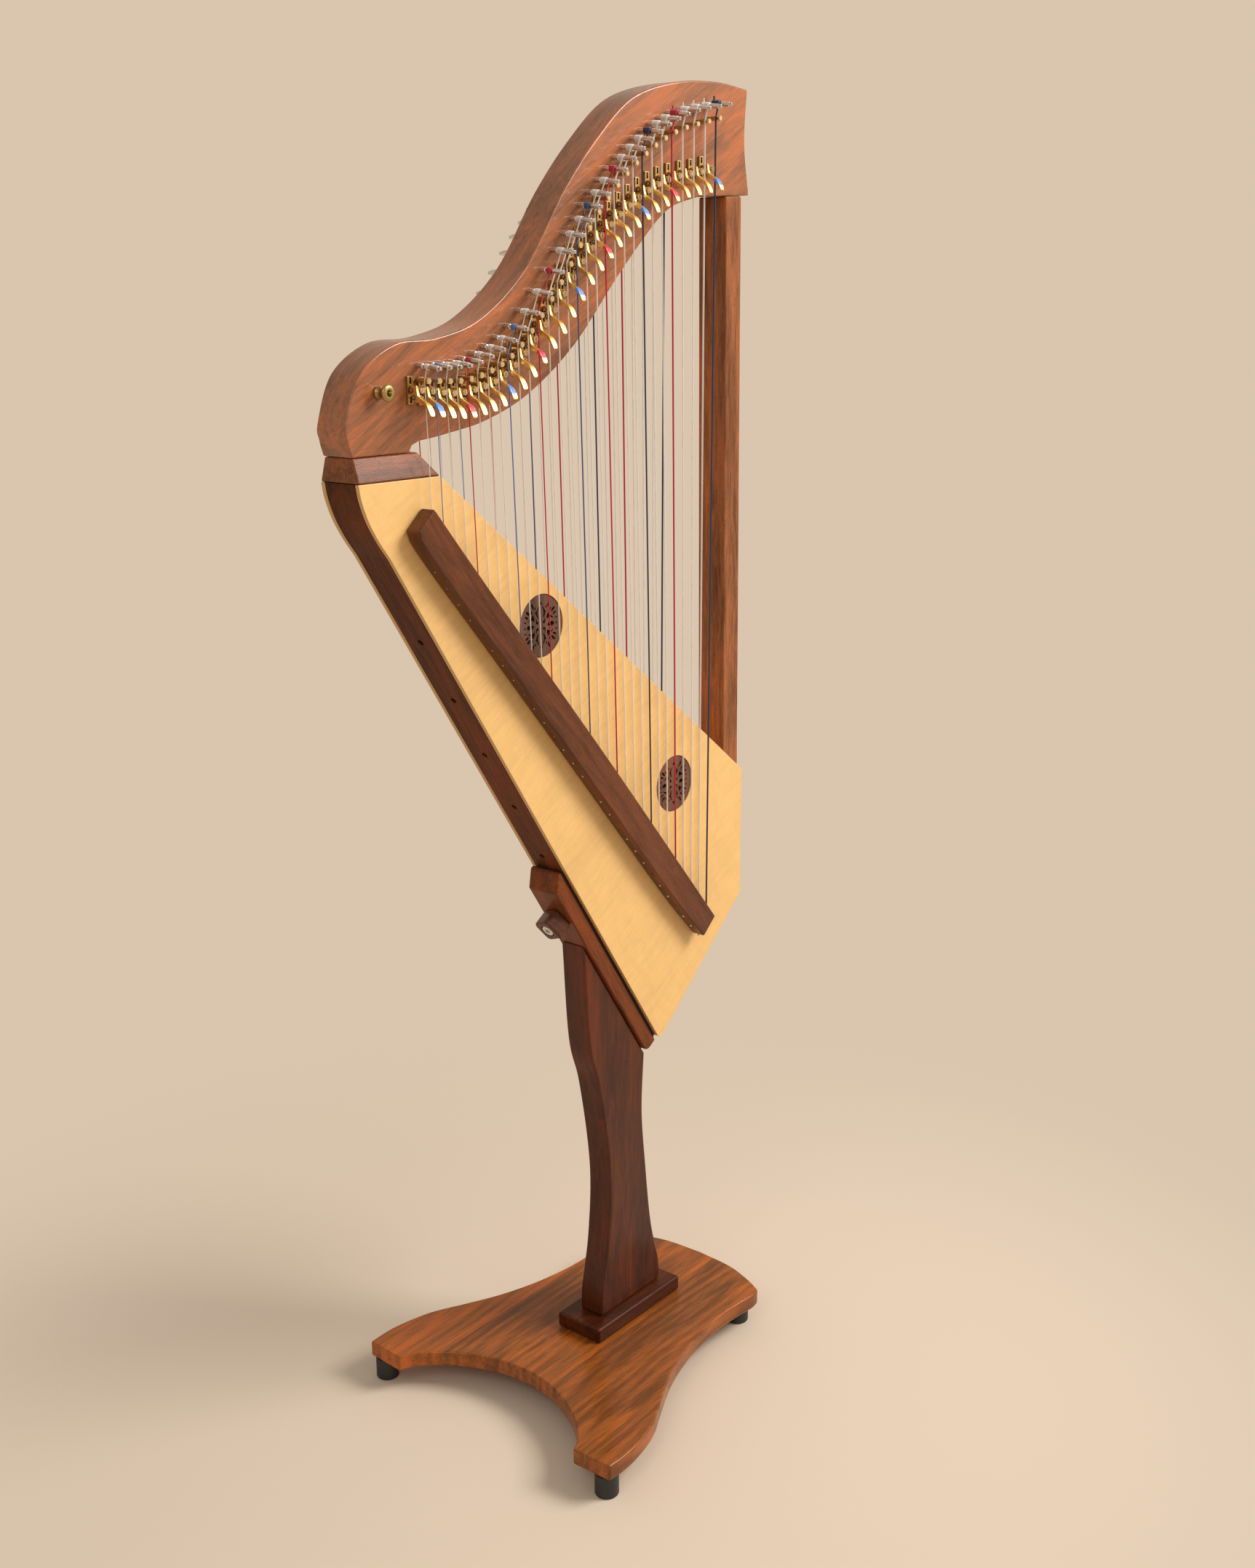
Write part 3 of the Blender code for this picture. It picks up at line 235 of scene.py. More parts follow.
class HarpStage(bpy.types.PropertyGroup):
    """The floor and the lamps."""

    floor: FloatVectorProperty(
        name="Floor", description="Colour of the floor and of what lies behind it",
        default=(0.700, 0.560, 0.425), subtype="COLOR", min=0, max=1)
    key_power: FloatProperty(
        name="Key lamp", description="Power of the large lamp in front",
        default=145.0, min=0, unit="POWER")
    fill_power: FloatProperty(
        name="Fill lamp", description="Power of the lamp on the treble side",
        default=16.0, min=0, unit="POWER")
    sky: FloatProperty(
        name="Sky", description="Strength of the light from all round", default=0.47, min=0)
    glow: FloatProperty(
        name="Glow", description="Strength of what polished surfaces mirror", default=0.55, min=0)


# Curves and places

def smooth(points, steps=8):
    """Points along a smooth curve through the given points."""
    points = [Vector(point) for point in points]
    knots = [2 * points[0] - points[1], *points, 2 * points[-1] - points[-2]]
    curve = []
    for before, first, second, after in zip(knots, knots[1:], knots[2:], knots[3:]):
        for step in range(steps):
            t = step / steps
            place = (2 * t**3 - 3 * t**2 + 1) * first
            place += (t**3 - 2 * t**2 + t) * (second - before) / 2
            place += (3 * t**2 - 2 * t**3) * second + (t**3 - t**2) * (after - first) / 2
            curve.append(place)
    return [*curve, points[-1]]


def at_share(curve, share):
    where = share * (len(curve) - 1)
    index = min(int(where), len(curve) - 2)
    return curve[index].lerp(curve[index + 1], where - index)


def between(pair, share):
    return pair[0] + (pair[1] - pair[0]) * share


def height_at(curve, x):
    """The height of an outline at an x."""
    for (x0, z0), (x1, z1) in zip(curve, curve[1:]):
        if min(x0, x1) <= x <= max(x0, x1):
            return z0 + (z1 - z0) * (x - x0) / (x1 - x0)
    return curve[0][1] if abs(x - curve[0][0]) < abs(x - curve[-1][0]) else curve[-1][1]


def circle(sides):
    """The angles of so many points round a circle."""
    return [2 * math.pi * side / sides for side in range(sides)]


def disc(radius, sides=64):
    return [(radius * math.cos(a), radius * math.sin(a)) for a in circle(sides)]


def rounded(before, corner, after, radius, steps=6):
    """Points of the arc that rounds one corner of an outline."""
    corner = Vector(corner)
    back = (Vector(before) - corner).normalized()
    ahead = (Vector(after) - corner).normalized()
    half = back.angle(ahead) / 2
    middle = corner + (back + ahead).normalized() * radius / math.sin(half)
    start = corner + back * radius / math.tan(half) - middle
    sweep = start.angle_signed(corner + ahead * radius / math.tan(half) - middle)
    first = math.atan2(start.y, start.x)
    angles = [first - sweep * step / steps for step in range(steps + 1)]
    return [middle + radius * Vector((math.cos(a), math.sin(a))) for a in angles]


def on_back(along, out):
    """The (x, z) place so far down the back of the sound box and so far out from it."""
    return Vector((
        BACK_TOP[0] + along * math.cos(BACK_ANGLE) - out * math.sin(BACK_ANGLE),
        BACK_TOP[1] - along * math.sin(BACK_ANGLE) - out * math.cos(BACK_ANGLE),
    ))


def back_z(x, out=0.0):
    place = on_back(0.0, out)
    return place.y - (x - place.x) * math.tan(BACK_ANGLE)


def belly_z(x):
    return back_z(BOX_TIP_X) + (x - BOX_TIP_X) * math.tan(BELLY_ANGLE)


def across_back(along, out=0.0):
    """A frame on the back of the sound box: its Z points out, its X up the slope."""
    place = on_back(along, out)
    out_way = Vector((-math.sin(BACK_ANGLE), 0, -math.cos(BACK_ANGLE)))
    up = Vector((-math.cos(BACK_ANGLE), 0, math.sin(BACK_ANGLE)))
    turn = Matrix((up, out_way.cross(up), out_way)).transposed().to_4x4()
    return Matrix.Translation((place.x, 0, place.y)) @ turn


def insert_at(number):
    """Where one of the threaded inserts down the back is."""
    return across_back(INSERT_FIRST + number * INSERT_PITCH)


def on_neck(place, side):
    """A frame on a face of the neck: X along it, Y up and Z out. The far one is mirrored."""
    turn = Matrix.Rotation(math.pi / 2, 4, "X")
    near = Matrix.Translation((place[0], -NECK_HALF, place[1])) @ turn
    return near if side < 0 else Matrix.Diagonal((1, -1, 1, 1)) @ near


def string_radius(sizes, share):
    return between((sizes.treble_string, sizes.bass_string), share)


def strings_at():
    """For each string from the treble: its number, its share along the row and its places."""
    bridge = smooth(BRIDGE_CURVE, 12)
    tuning = smooth(TUNING_CURVE, 12)
    upper = smooth(RAIL_UPPER, 4)
    lower = smooth(RAIL_LOWER[::-1], 4)
    underside = [*lower, RAIL_UPPER[-1]]
    rows = []
    for number in range(STRINGS):
        share = number / (STRINGS - 1)
        base_x = between(STRING_BASE_X, share)
        top, low = height_at(upper, base_x), height_at(lower, base_x)
        pin = at_share(bridge, share)
        side = between(LEVER_SIDE, share)
        run_x = pin.x - CAD_GROOVE_RADIUS - CAD_STRING_CLEAR - between(CAD_STRING_RADII, share)
        pivot = Vector((run_x - side, pin.y - SEMITONE * (pin.y - (top + low) / 2)))
        base = Vector((base_x, (top + low) / 2))
        knot = Vector((base_x, height_at(underside, base_x)))
        rows.append({"number": number + 1, "share": share, "bridge": pin, "run_x": run_x,
                     "tuning": at_share(tuning, share), "pivot": pivot, "base": base,
                     "knot": knot})
    return rows


def colour_of(number):
    if number % OCTAVE == RED_PHASE:
        return "red"
    return "blue" if number % OCTAVE == BLUE_PHASE else "clear"


# Mesh work

def fresh():
    return bmesh.new()


def slab(points, y_from, y_to, radius=0.0, segments=3, angle=40.0):
    """A board cut to an outline in X and Z, with its edges rounded."""
    mesh = fresh()
    mesh.faces.new([mesh.verts.new((x, y_from, z)) for x, z in points])
    grown = bmesh.ops.extrude_face_region(mesh, geom=mesh.faces[:])["geom"]
    verts = [item for item in grown if isinstance(item, bmesh.types.BMVert)]
    bmesh.ops.translate(mesh, vec=(0, y_to - y_from, 0), verts=verts)
    bmesh.ops.recalc_face_normals(mesh, faces=mesh.faces)
    return soften(mesh, radius, segments, angle)


def soften(mesh, radius, segments=3, angle=40.0):
    """Rounds every edge of a mesh that is sharper than the angle, in degrees."""
    if radius > 0:
        least = math.radians(angle)
        sharp = [e for e in mesh.edges if e.is_manifold and e.calc_face_angle() > least]
        bmesh.ops.bevel(mesh, geom=sharp, offset=radius, segments=segments, profile=0.5,
                        affect="EDGES", clamp_overlap=True, material=-1)
    return mesh


def block(low, high, radius=0.0, segments=3):
    """A box between two corners, with its edges rounded."""
    low, high = Vector(low), Vector(high)
    mesh = fresh()
    bmesh.ops.create_cube(mesh, size=1.0)
    bmesh.ops.scale(mesh, vec=high - low, verts=mesh.verts)
    bmesh.ops.translate(mesh, vec=(low + high) / 2, verts=mesh.verts)
    return soften(mesh, radius, segments)


def turned(profile, sides, centre=(0, 0, 0)):
    """A turned shape about Z. The profile is (radius, height) from end to end."""
    mesh = fresh()
    verts = [mesh.verts.new((radius, 0, height)) for radius, height in profile]
    edges = [mesh.edges.new(pair) for pair in zip(verts, verts[1:])]
    bmesh.ops.spin(mesh, geom=verts + edges, cent=(0, 0, 0), axis=(0, 0, 1), angle=2 * math.pi,
                   steps=sides, use_merge=True)
    bmesh.ops.remove_doubles(mesh, verts=mesh.verts, dist=1e-6)
    bmesh.ops.recalc_face_normals(mesh, faces=mesh.faces)
    bmesh.ops.translate(mesh, vec=centre, verts=mesh.verts)
    return mesh


def rod(radius, low, high, sides):
    """A plain round bar about Z."""
    return turned([(0, high), (radius, high), (radius, low), (0, low)], sides)


def moved(mesh, matrix):
    bmesh.ops.transform(mesh, matrix=matrix, verts=mesh.verts)
    if matrix.determinant() < 0:
        bmesh.ops.reverse_faces(mesh, faces=mesh.faces)
    return mesh


def laid(mesh):
    """Lays what is drawn in X and Z flat, with its Z turned to Y."""
    return moved(mesh, Matrix.Rotation(-math.pi / 2, 4, "X"))


def gathered(meshes):
    """One mesh from several. Each keeps its own faces."""
    whole = fresh()
    for mesh in meshes:
        data = bpy.data.meshes.new("part")
        mesh.to_mesh(data)
        mesh.free()
        whole.from_mesh(data)
        bpy.data.meshes.remove(data)
    return whole


def stamped(mesh, matrices):
    """A copy of one mesh at each matrix."""
    return gathered([moved(mesh.copy(), matrix) for matrix in matrices])


def painted(mesh, index, chosen=None):
    """Gives a material number to the faces that are chosen."""
    for face in mesh.faces:
        if chosen is None or chosen(face):
            face.material_index = index
    return mesh


def as_object(name, mesh):
    data = bpy.data.meshes.new(name)
    mesh.to_mesh(data)
    mesh.free()
    obj = bpy.data.objects.new(name, data)
    bpy.context.scene.collection.objects.link(obj)
    return obj


def carved(mesh, cutter):
    """A mesh with another cut out of it."""
    body, other = as_object("body", mesh), as_object("cutter", cutter)
    step = body.modifiers.new("cut", "BOOLEAN")
    step.operation = "DIFFERENCE"
    step.solver = "EXACT"
    step.object = other
    bpy.context.view_layer.update()
    graph = bpy.context.evaluated_depsgraph_get()
    made = fresh()
    made.from_mesh(bpy.data.meshes.new_from_object(body.evaluated_get(graph)))
    for obj in (body, other):
        bpy.data.objects.remove(obj)
    return made


def piece(name, mesh, finishes, nodes=(), body="harp", angle=38.0):
    """Puts a finished mesh in its place as a piece that rides on a body."""
    obj = as_object(name, mesh)
    obj.data.transform(Matrix.Translation((ORIGIN_X, 0, 0)))
    for finish in finishes:
        obj.data.materials.append(finish_of(finish))
    obj.data.shade_smooth()
    obj.data.set_sharp_from_angle(angle=math.radians(angle))
    weigh = obj.modifiers.new("even_shading", "WEIGHTED_NORMAL")
    weigh.keep_sharp = True
    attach(obj, body)
    if nodes:
        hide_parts(*nodes)
    return obj


def dressed(node, finish):
    """Gives a node of the frame whose shape is right its finish."""
    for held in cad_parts[node].material_slots:
        held.material = finish_of(finish)


# Finishes

class Value:
    """An output socket that takes Python's arithmetic, for shader maths on plain values."""

    def __init__(self, nodes, link):
        self.nodes = nodes
        self.link = link

    def maths(self, operation, *values):
        return self.nodes.node("Math", {"operation": operation}, dict(enumerate(values)))

    def __add__(self, other):
        return self.maths("ADD", self, other)

    def __sub__(self, other):
        return self.maths("SUBTRACT", self, other)

    def __rsub__(self, other):
        return self.maths("SUBTRACT", other, self)

    def __mul__(self, other):
        return self.maths("MULTIPLY", self, other)

    def __truediv__(self, other):
        return self.maths("DIVIDE", self, other)

    __radd__ = __add__
    __rmul__ = __mul__

    def floor(self):
        return self.maths("FLOOR", self)

    def sine(self):
        return self.maths("SINE", self)

    def root(self):
        return self.maths("SQRT", self)

    def stretch(self, low, high):
        """Runs from 0 at one value to 1 at the other, smoothly."""
        return self.nodes.node("MapRange", {"interpolation_type": "SMOOTHSTEP"},
                               {"Value": self, "From Min": low, "From Max": high})


class Nodes:
    """A node tree in the making."""

    def __init__(self, tree):
        self.tree = tree

    def node(self, kind, settings=(), sockets=(), output=0):
        made = self.tree.nodes.new("ShaderNode" + kind)
        for key, value in dict(settings).items():
            if key == "stops":
                self.stops(made.color_ramp, value)
            else:
                setattr(made, key, value)
        for key, value in dict(sockets).items():
            self.feed(made.inputs[key], value)
        return Value(self, made.outputs[output]) if made.outputs else None

    def stops(self, ramp, stops):
        while len(ramp.elements) < len(stops):
            ramp.elements.new(0.5)
        for element, (place, colour) in zip(ramp.elements, stops):
            element.position = place
            element.color = (*colour, 1.0)

    def feed(self, socket, value):
        if isinstance(value, Value):
            self.tree.links.new(value.link, socket)
        elif socket.type == "RGBA" and len(value) == 3:
            socket.default_value = (*value, 1.0)
        else:
            socket.default_value = value


class Finish(Nodes):
    """A Principled material in the making."""

    def __init__(self, name):
        self.material = bpy.data.materials.new(name)
        self.material.use_nodes = True
        super().__init__(self.material.node_tree)
        self.shader = self.tree.nodes["Principled BSDF"]

    def place(self):
        return self.node("TexCoord", output="Object")

    def axis(self, key, vector=None):
        """One coordinate of a place: 0, 1 or 2 for X, Y or Z."""
        return self.node("SeparateXYZ", sockets={"Vector": vector or self.place()}, output=key)

    def along(self, turn, stretch, place=None):
        """Coordinates with X along the grain, drawn out by so much."""
        return self.node("Mapping", {"vector_type": "TEXTURE"},
                         {"Vector": place or self.place(), "Rotation": turn,
                          "Scale": (stretch, 1, 1)})

    def noise(self, vector, scale, detail=2.0, roughness=0.5, distortion=0.0):
        return self.node("TexNoise", sockets={
            "Vector": vector, "Scale": scale, "Detail": detail, "Roughness": roughness,
            "Distortion": distortion})

    def mix(self, factor, first, second):
        """A colour between two colours. The numbers are the Mix node's colour sockets."""
        return self.node("Mix", {"data_type": "RGBA"}, {0: factor, 6: first, 7: second},
                         output=2)

    def ramp(self, value, stops):
        return self.node("ValToRGB", {"stops": stops}, {"Fac": value})

    def bump(self, height, strength, distance):
        return self.node("Bump", sockets={
            "Height": height, "Strength": strength, "Distance": distance})

    def blend(self, factor, other):
        """Puts another shader over the Principled one by a factor."""
        below = Value(self, self.shader.outputs[0])
        mixed = self.node("MixShader", sockets={0: factor, 1: below, 2: other})
        self.feed(self.tree.nodes["Material Output"].inputs["Surface"], mixed)
        return self.material

    def done(self, sockets):
        for key, value in sockets.items():
            self.feed(self.shader.inputs[key], value)
        return self.material


def shade(colour, factor):
    return tuple(min(1.0, max(0.0, channel * factor)) for channel in colour)


MAKERS = {}


def maker(make):
    """Files a finish that has a recipe of its own under its name."""
    MAKERS[make.__name__] = make
    return make


def grain_at(degrees):
    """How a grain that rises towards the pillar by so many degrees is turned."""
    return (0, -math.radians(degrees), 0)


def wood(finish, colour, rise, gloss=0.24, contrast=0.50, pore=0.50, boards=0.0, mirror=0.25,
         warm=(1.30, 1.04, 0.78)):
    """Oiled wood: streaks and lines along the grain, fine dark pores and a thin finish. Glued
    up from boards of a given width, it changes tone from one to the next."""
    turn = grain_at(rise)
    place = finish.place()
    tone = 0.5
    if boards:
        share = finish.axis(1, place) / boards + 0.37
        board = share.floor()
        tone = finish.node("TexWhiteNoise", {"noise_dimensions": "1D"}, {"W": board})
        heart = finish.node("CombineXYZ", sockets={
            "X": finish.axis(0, place) * 0.12 + tone * 0.05 - 0.02,
            "Y": (share - board - tone) * boards})
        arches = finish.node("TexWave", {"wave_type": "RINGS", "rings_direction": "SPHERICAL"}, {
            "Vector": heart, "Scale": 28.0, "Distortion": 4.0, "Detail": 2.0,
            "Detail Scale": 1.6}, output=1)
        shift = finish.node("CombineXYZ", sockets={"X": board * 0.37, "Z": board * 0.23})
        place = finish.node("VectorMath", {"operation": "ADD"}, {0: place, 1: shift})
    broad = finish.noise(finish.along(turn, 7.0, place), 20.0, 3.0, 0.55, 0.7)
    lines = finish.noise(finish.along(turn, 10.0, place), 95.0, 4.0, 0.6, 1.3)
    fine = finish.noise(finish.along(turn, 12.0, place), 520.0, 3.0, 0.6)
    figure = broad * 0.42 + lines * 0.36 + fine * 0.22
    if boards:
        figure = figure * 0.93 + arches * 0.07 + (tone - 0.5) * 0.08
    lit = [channel * by for channel, by in zip(shade(colour, 1.0 + contrast * 0.7), warm)]
    base = finish.ramp(figure, [(0.39, shade(colour, 1.0 - contrast)), (0.49, colour),
                                (0.60, shade(lit, 1.0))])
    flecks = finish.noise(finish.along(turn, 8.0, place), 2500.0, 1.0, 0.4).stretch(0.56, 0.72)
    base = finish.mix(flecks * pore, base, shade(colour, 0.25))
    return finish.done({
        "Base Color": base,
        "Roughness": flecks * 0.18 + fine * 0.10 + gloss,
        "Normal": finish.bump(1.0 - flecks, 0.12, 0.0002),
        "Specular IOR Level": mirror,
        "Coat Weight": mirror * 0.4,
        "Coat Roughness": 0.08,
    })


@maker
def birch_face(finish, colours):
    """Varnished birch: faint long grain, a soft curl and tiny darker ticks."""
    turn = grain_at(30)
    grain = finish.along(turn, 7.0)
    broad = finish.noise(grain, 8.0, 3.0, 0.55, 0.8)
    fine = finish.noise(grain, 260.0)
    curl = finish.noise(finish.along(turn, 0.30), 26.0, distortion=0.7)
    colour = finish.ramp(broad * 0.6 + fine * 0.4, [
        (0.35, shade(colours.birch, 0.90)), (0.50, colours.birch),
        (0.66, shade(colours.birch, 1.07))])
    colour = finish.mix(curl.stretch(0.40, 0.72) * 0.22, colour, shade(colours.birch, 0.80))
    ticks = finish.noise(finish.along(turn, 12.0), 900.0, 1.0).stretch(0.62, 0.74)
    colour = finish.mix(ticks * 0.15, colour, shade(colours.birch, 0.55))
    return finish.done({"Base Color": colour, "Roughness": fine * 0.12 + 0.34,
                        "Normal": finish.bump(1.0 - ticks, 0.05, 0.0002), "Coat Weight": 0.2,
                        "Coat Roughness": 0.2})


@maker
def birch_edge(finish, colours):
    """The plies along a panel's edge: pale and dark layers across its thickness."""
    layer = (finish.axis(1) * (2 * math.pi / PLY)).sine().stretch(-0.2, 0.6)
    grit = finish.noise(finish.place(), 600.0)
    colour = finish.mix(layer, shade(colours.birch, 0.92), PLY_DARK)
    colour = finish.mix(grit * 0.35, colour, shade(colours.birch, 0.60))
    return finish.done({"Base Color": colour, "Roughness": grit * 0.1 + 0.45})


def metal(finish, colour, roughness, wear, dirt):
    """Polished metal with a soft cloudiness, duller where it is handled."""
    cloud = finish.noise(finish.place(), 240.0, 3.0, 0.6)
    scratch = finish.noise(finish.along((0.6, 0.3, 0), 20.0), 1800.0)
    return finish.done({
        "Base Color": finish.mix(cloud.stretch(0.42, 0.75) * dirt, colour, shade(colour, 0.45)),
        "Metallic": 1.0,
        "Roughness": cloud * wear + scratch * 0.08 + roughness,
    })


def cord(finish, colour, roughness):
    """Smooth nylon with slight unevenness."""
    tint = finish.noise(finish.place(), 90.0)
    return finish.done({"Base Color": finish.mix(tint * 0.5, colour, shade(colour, 0.78)),
                        "Roughness": tint * 0.1 + roughness})


@maker
def string_clear(finish, colours):
    """Undyed nylon, which lets some of what is behind it through."""
    tint = finish.noise(finish.place(), 90.0)
    colour = finish.mix(tint, (0.900, 0.850, 0.780), (0.700, 0.620, 0.540))
    return finish.done({"Base Color": colour, "Roughness": tint * 0.1 + 0.2,
                        "Alpha": tint * 0.2 + 0.42})


@maker
def string_blue(finish, colours):
    """Pale blue at the treble end, almost black at the bass end."""
    bass = finish.axis(0).stretch(-0.20, 0.12)
    colour = finish.mix(bass, (0.130, 0.200, 0.420), (0.016, 0.022, 0.050))
    return finish.done({"Base Color": colour, "Roughness": 0.30})


@maker
def foot_rubber(finish, colours):
    speck = finish.noise(finish.place(), 700.0, 3.0, 0.6)
    colour = finish.mix(speck * 0.6, (0.010, 0.010, 0.011), (0.03, 0.03, 0.03))
    return finish.done({"Base Color": colour, "Roughness": speck * 0.2 + 0.42,
                        "Normal": finish.bump(speck, 0.15, 0.0002)})


# The pad between the cradle and the back board is a real layer, but its near-black colour is
# painted shadow: it stands for the dark shadow in the gap under the cradle.
@maker
def pad_felt(finish, colours):
    pile = finish.noise(finish.place(), 1400.0, 4.0, 0.7)
    colour = finish.mix(pile, (0.006, 0.005, 0.005), (0.03, 0.026, 0.024))
    return finish.done({"Base Color": colour, "Roughness": 0.95,
                        "Normal": finish.bump(pile, 0.5, 0.0004)})


# The finishes that share a recipe: the recipe, a colour of the panel or its own, how much of
# that colour there is, and what else the recipe takes
RECIPES = {
    "neck_walnut": (wood, "neck_wood", 1.0, {"rise": 29, "gloss": 0.18, "contrast": 0.40,
                                             "mirror": 0.45}),
    "block_walnut": (wood, "neck_wood", 0.68, {"rise": 0, "mirror": 0.12}),
    "pillar_walnut": (wood, "neck_wood", 1.0, {"rise": 90, "gloss": 0.32, "mirror": 0.10}),
    "back_walnut": (wood, "dark_wood", 0.75, {"rise": -57, "gloss": 0.36, "mirror": 0.06}),
    "rail_walnut": (wood, "dark_wood", 0.84, {"rise": -50, "contrast": 0.44,
                                              "warm": (1.15, 1.10, 1.05)}),
    "pedestal_walnut": (wood, "stand_wood", 1.0, {"rise": 88}),
    "cradle_walnut": (wood, "dark_wood", 0.95, {"rise": -57, "mirror": 0.12}),
    "plinth_walnut": (wood, "stand_wood", 1.0, {"rise": 0, "mirror": 0.15}),
    "base_walnut": (wood, "base_wood", 1.0, {"rise": 0, "contrast": 0.45, "pore": 0.4,
                                             "boards": 0.062, "mirror": 0.28}),
    "rosette_wood": (wood, (0.125, 0.056, 0.034), 1.0, {"rise": 90, "gloss": 0.45,
                                                        "pore": 0.3}),
    "lever_brass": (metal, "brass", 1.0, {"roughness": 0.30, "wear": 0.14, "dirt": 0.12}),
    "plate_brass": (metal, "brass", 0.62, {"roughness": 0.22, "wear": 0.20, "dirt": 0.6}),
    "bright_brass": (metal, (0.860, 0.660, 0.360), 1.0, {"roughness": 0.18, "wear": 0.12,
                                                         "dirt": 0.15}),
    "button_brass": (metal, (0.420, 0.310, 0.120), 1.0, {"roughness": 0.26, "wear": 0.15,
                                                         "dirt": 0.5}),
    "pin_nickel": (metal, (0.740, 0.730, 0.710), 1.0, {"roughness": 0.10, "wear": 0.16,
                                                       "dirt": 0.35}),
    "screw_black": (metal, (0.045, 0.042, 0.040), 1.0, {"roughness": 0.30, "wear": 0.12,
                                                        "dirt": 0.2}),
    "string_red": (cord, "red", 1.0, {"roughness": 0.28}),
    "sleeve_red": (cord, (0.720, 0.030, 0.075), 1.0, {"roughness": 0.38}),
    "sleeve_blue": (cord, "sleeve_blue", 1.0, {"roughness": 0.38}),
}


def finish_of(name):
    """A finish by its name. It is made once, when the first piece asks for it."""
    colours = bpy.context.scene.harp_colours
    if name in bpy.data.materials:
        return bpy.data.materials[name]
    if name in MAKERS:
        return MAKERS[name](Finish(name), colours)
    recipe, colour, share, settings = RECIPES[name]
    if isinstance(colour, str):
        colour = getattr(colours, colour)
    return recipe(Finish(name), shade(colour, share), **settings)


# Stand

class HARP_OT_base(bpy.types.Operator):
    """Base board, plinth and rubber feet"""

    bl_idname = "harp.base"
    bl_label = "Base"

    def execute(self, context):
        half = smooth(BASE_SIDE, 5) + smooth(BASE_BACK, 5)
        outline = half + [Vector((x, -y)) for x, y in reversed(half[1:-1])]
        board = laid(slab(outline, -BASE_TOP_Z, -BASE_BOTTOM_Z, 0.0042, 4, 60.0))
        piece("base_top", board, ["base_walnut"], ["base_board"])
        plinth = block(PLINTH_LOW, PLINTH_HIGH, 0.0032, 4)
        piece("plinth_block", plinth, ["plinth_walnut"], ["plinth"])
        height = BASE_BOTTOM_Z - SEAT
        profile = [(0, height), (0.0115, height), (0.0125, height - 0.0005),
                   (0.0130, height - 0.0015), (0.0130, 0.0015), (0.0125, 0.0005), (0.0115, 0),
                   (0.0055, 0), (0.0055, 0.004), (0, 0.004)]
        for end, (x, y) in FEET.items():
            for side, sign in SIDES:
                foot = turned(profile, 32, (x, sign * y, 0))
                piece(f"foot_{end}_{side}_rubber", foot, ["foot_rubber"],
                      [f"foot_{end}_{side}"])
        return {"FINISHED"}


class HARP_OT_pedestal(bpy.types.Operator):
    """Pedestal board, cradle, pad and clamping knob"""

    bl_idname = "harp.pedestal"
    bl_label = "Pedestal"

    def execute(self, context):
        sizes = context.scene.harp_sizes
        under = 3 * SEAT + PAD_THICK + CRADLE_THICK
        back = [*PEDESTAL_BACK[:-1], (PEDESTAL_TOP_X[0], back_z(PEDESTAL_TOP_X[0], under))]
        front = [*PEDESTAL_FRONT, (PEDESTAL_TOP_X[1], back_z(PEDESTAL_TOP_X[1], under))]
        outline = smooth(back) + smooth(front)[::-1]
        post = slab(outline, -PEDESTAL_HALF, PEDESTAL_HALF, sizes.board_round * 1.3, 4)
        piece("pedestal_board", post, ["pedestal_walnut"], ["pedestal"])
        self.cradle()
        # The pad's near-black finish is painted shadow for the gap between the cradle and the sound
        # box.
        dressed("cradle_pad", "pad_felt")
        self.knob()
        return {"FINISHED"}

    def cradle(self):
        inner, outer = 2 * SEAT + PAD_THICK, 2 * SEAT + PAD_THICK + CRADLE_THICK
        low_in, low_out = on_back(CRADLE_LOW, inner), on_back(CRADLE_LOW, outer)
        outline = [on_back(CRADLE_HIGH, inner), on_back(CRADLE_HIGH, inner + 0.00475),
                   on_back(CRADLE_HIGH + 0.0160, outer),
                   *rounded(on_back(CRADLE_HIGH, outer), low_out, low_in, 0.0080), low_in]
        bar = slab(outline, -CRADLE_HALF, CRADLE_HALF, 0.0020, 3, 30.0)
        bar = carved(bar, moved(rod(0.0035, -0.03, 0.05, 20), insert_at(INSERTS - 1)))
        piece("cradle_bar", bar, ["cradle_walnut"], ["cradle"])

    def knob(self):
        base = 3 * SEAT + PAD_THICK + CRADLE_THICK
        face = base + KNOB_HEIGHT
        half = KNOB_SIDE / 2
        corners = [(half, half), (-half, half), (-half, -half), (half, -half)]
        outline = []
        for index, corner in enumerate(corners):
            outline += rounded(corners[index - 1], corner, corners[(index + 1) % 4], 0.0060)
        grip = laid(slab(outline, 0, -KNOB_HEIGHT, 0.0022, 3, 60.0))
        bolt_at = insert_at(INSERTS - 1)
        turn = Matrix.Rotation(KNOB_TURN, 4, "Z")
        moved(grip, bolt_at @ Matrix.Translation((0, 0, base)) @ turn)
        head_hole = turned([(0, face + 0.01), (0.0080, face + 0.01), (0.0080, face - 0.0015),
                            (0.0035, face - 0.0050), (0.0035, -0.01), (0, -0.01)], 24)
        grip = carved(grip, moved(head_hole, bolt_at))
        piece("knob_grip", grip, ["rail_walnut"], ["knob"], "knob")
        bolt = turned([(0, face - 0.0003), (0.0066, face - 0.0003), (0.0075, face - 0.0012),
                       (0.0075, face - 0.0020), (0.0030, face - 0.0045), (0.0030, -0.0130),
                       (0, -0.0130)], 24)
        socket = slab(disc(0.0032, 6), 0.01, -0.0028)
        moved(socket, Matrix.Translation((0, 0, face)) @ Matrix.Rotation(math.pi / 2, 4, "X"))
        bolt = carved(bolt, socket)
        piece("knob_screw", moved(bolt, bolt_at), ["pin_nickel"], ["knob_bolt"], "knob")


# Sound box

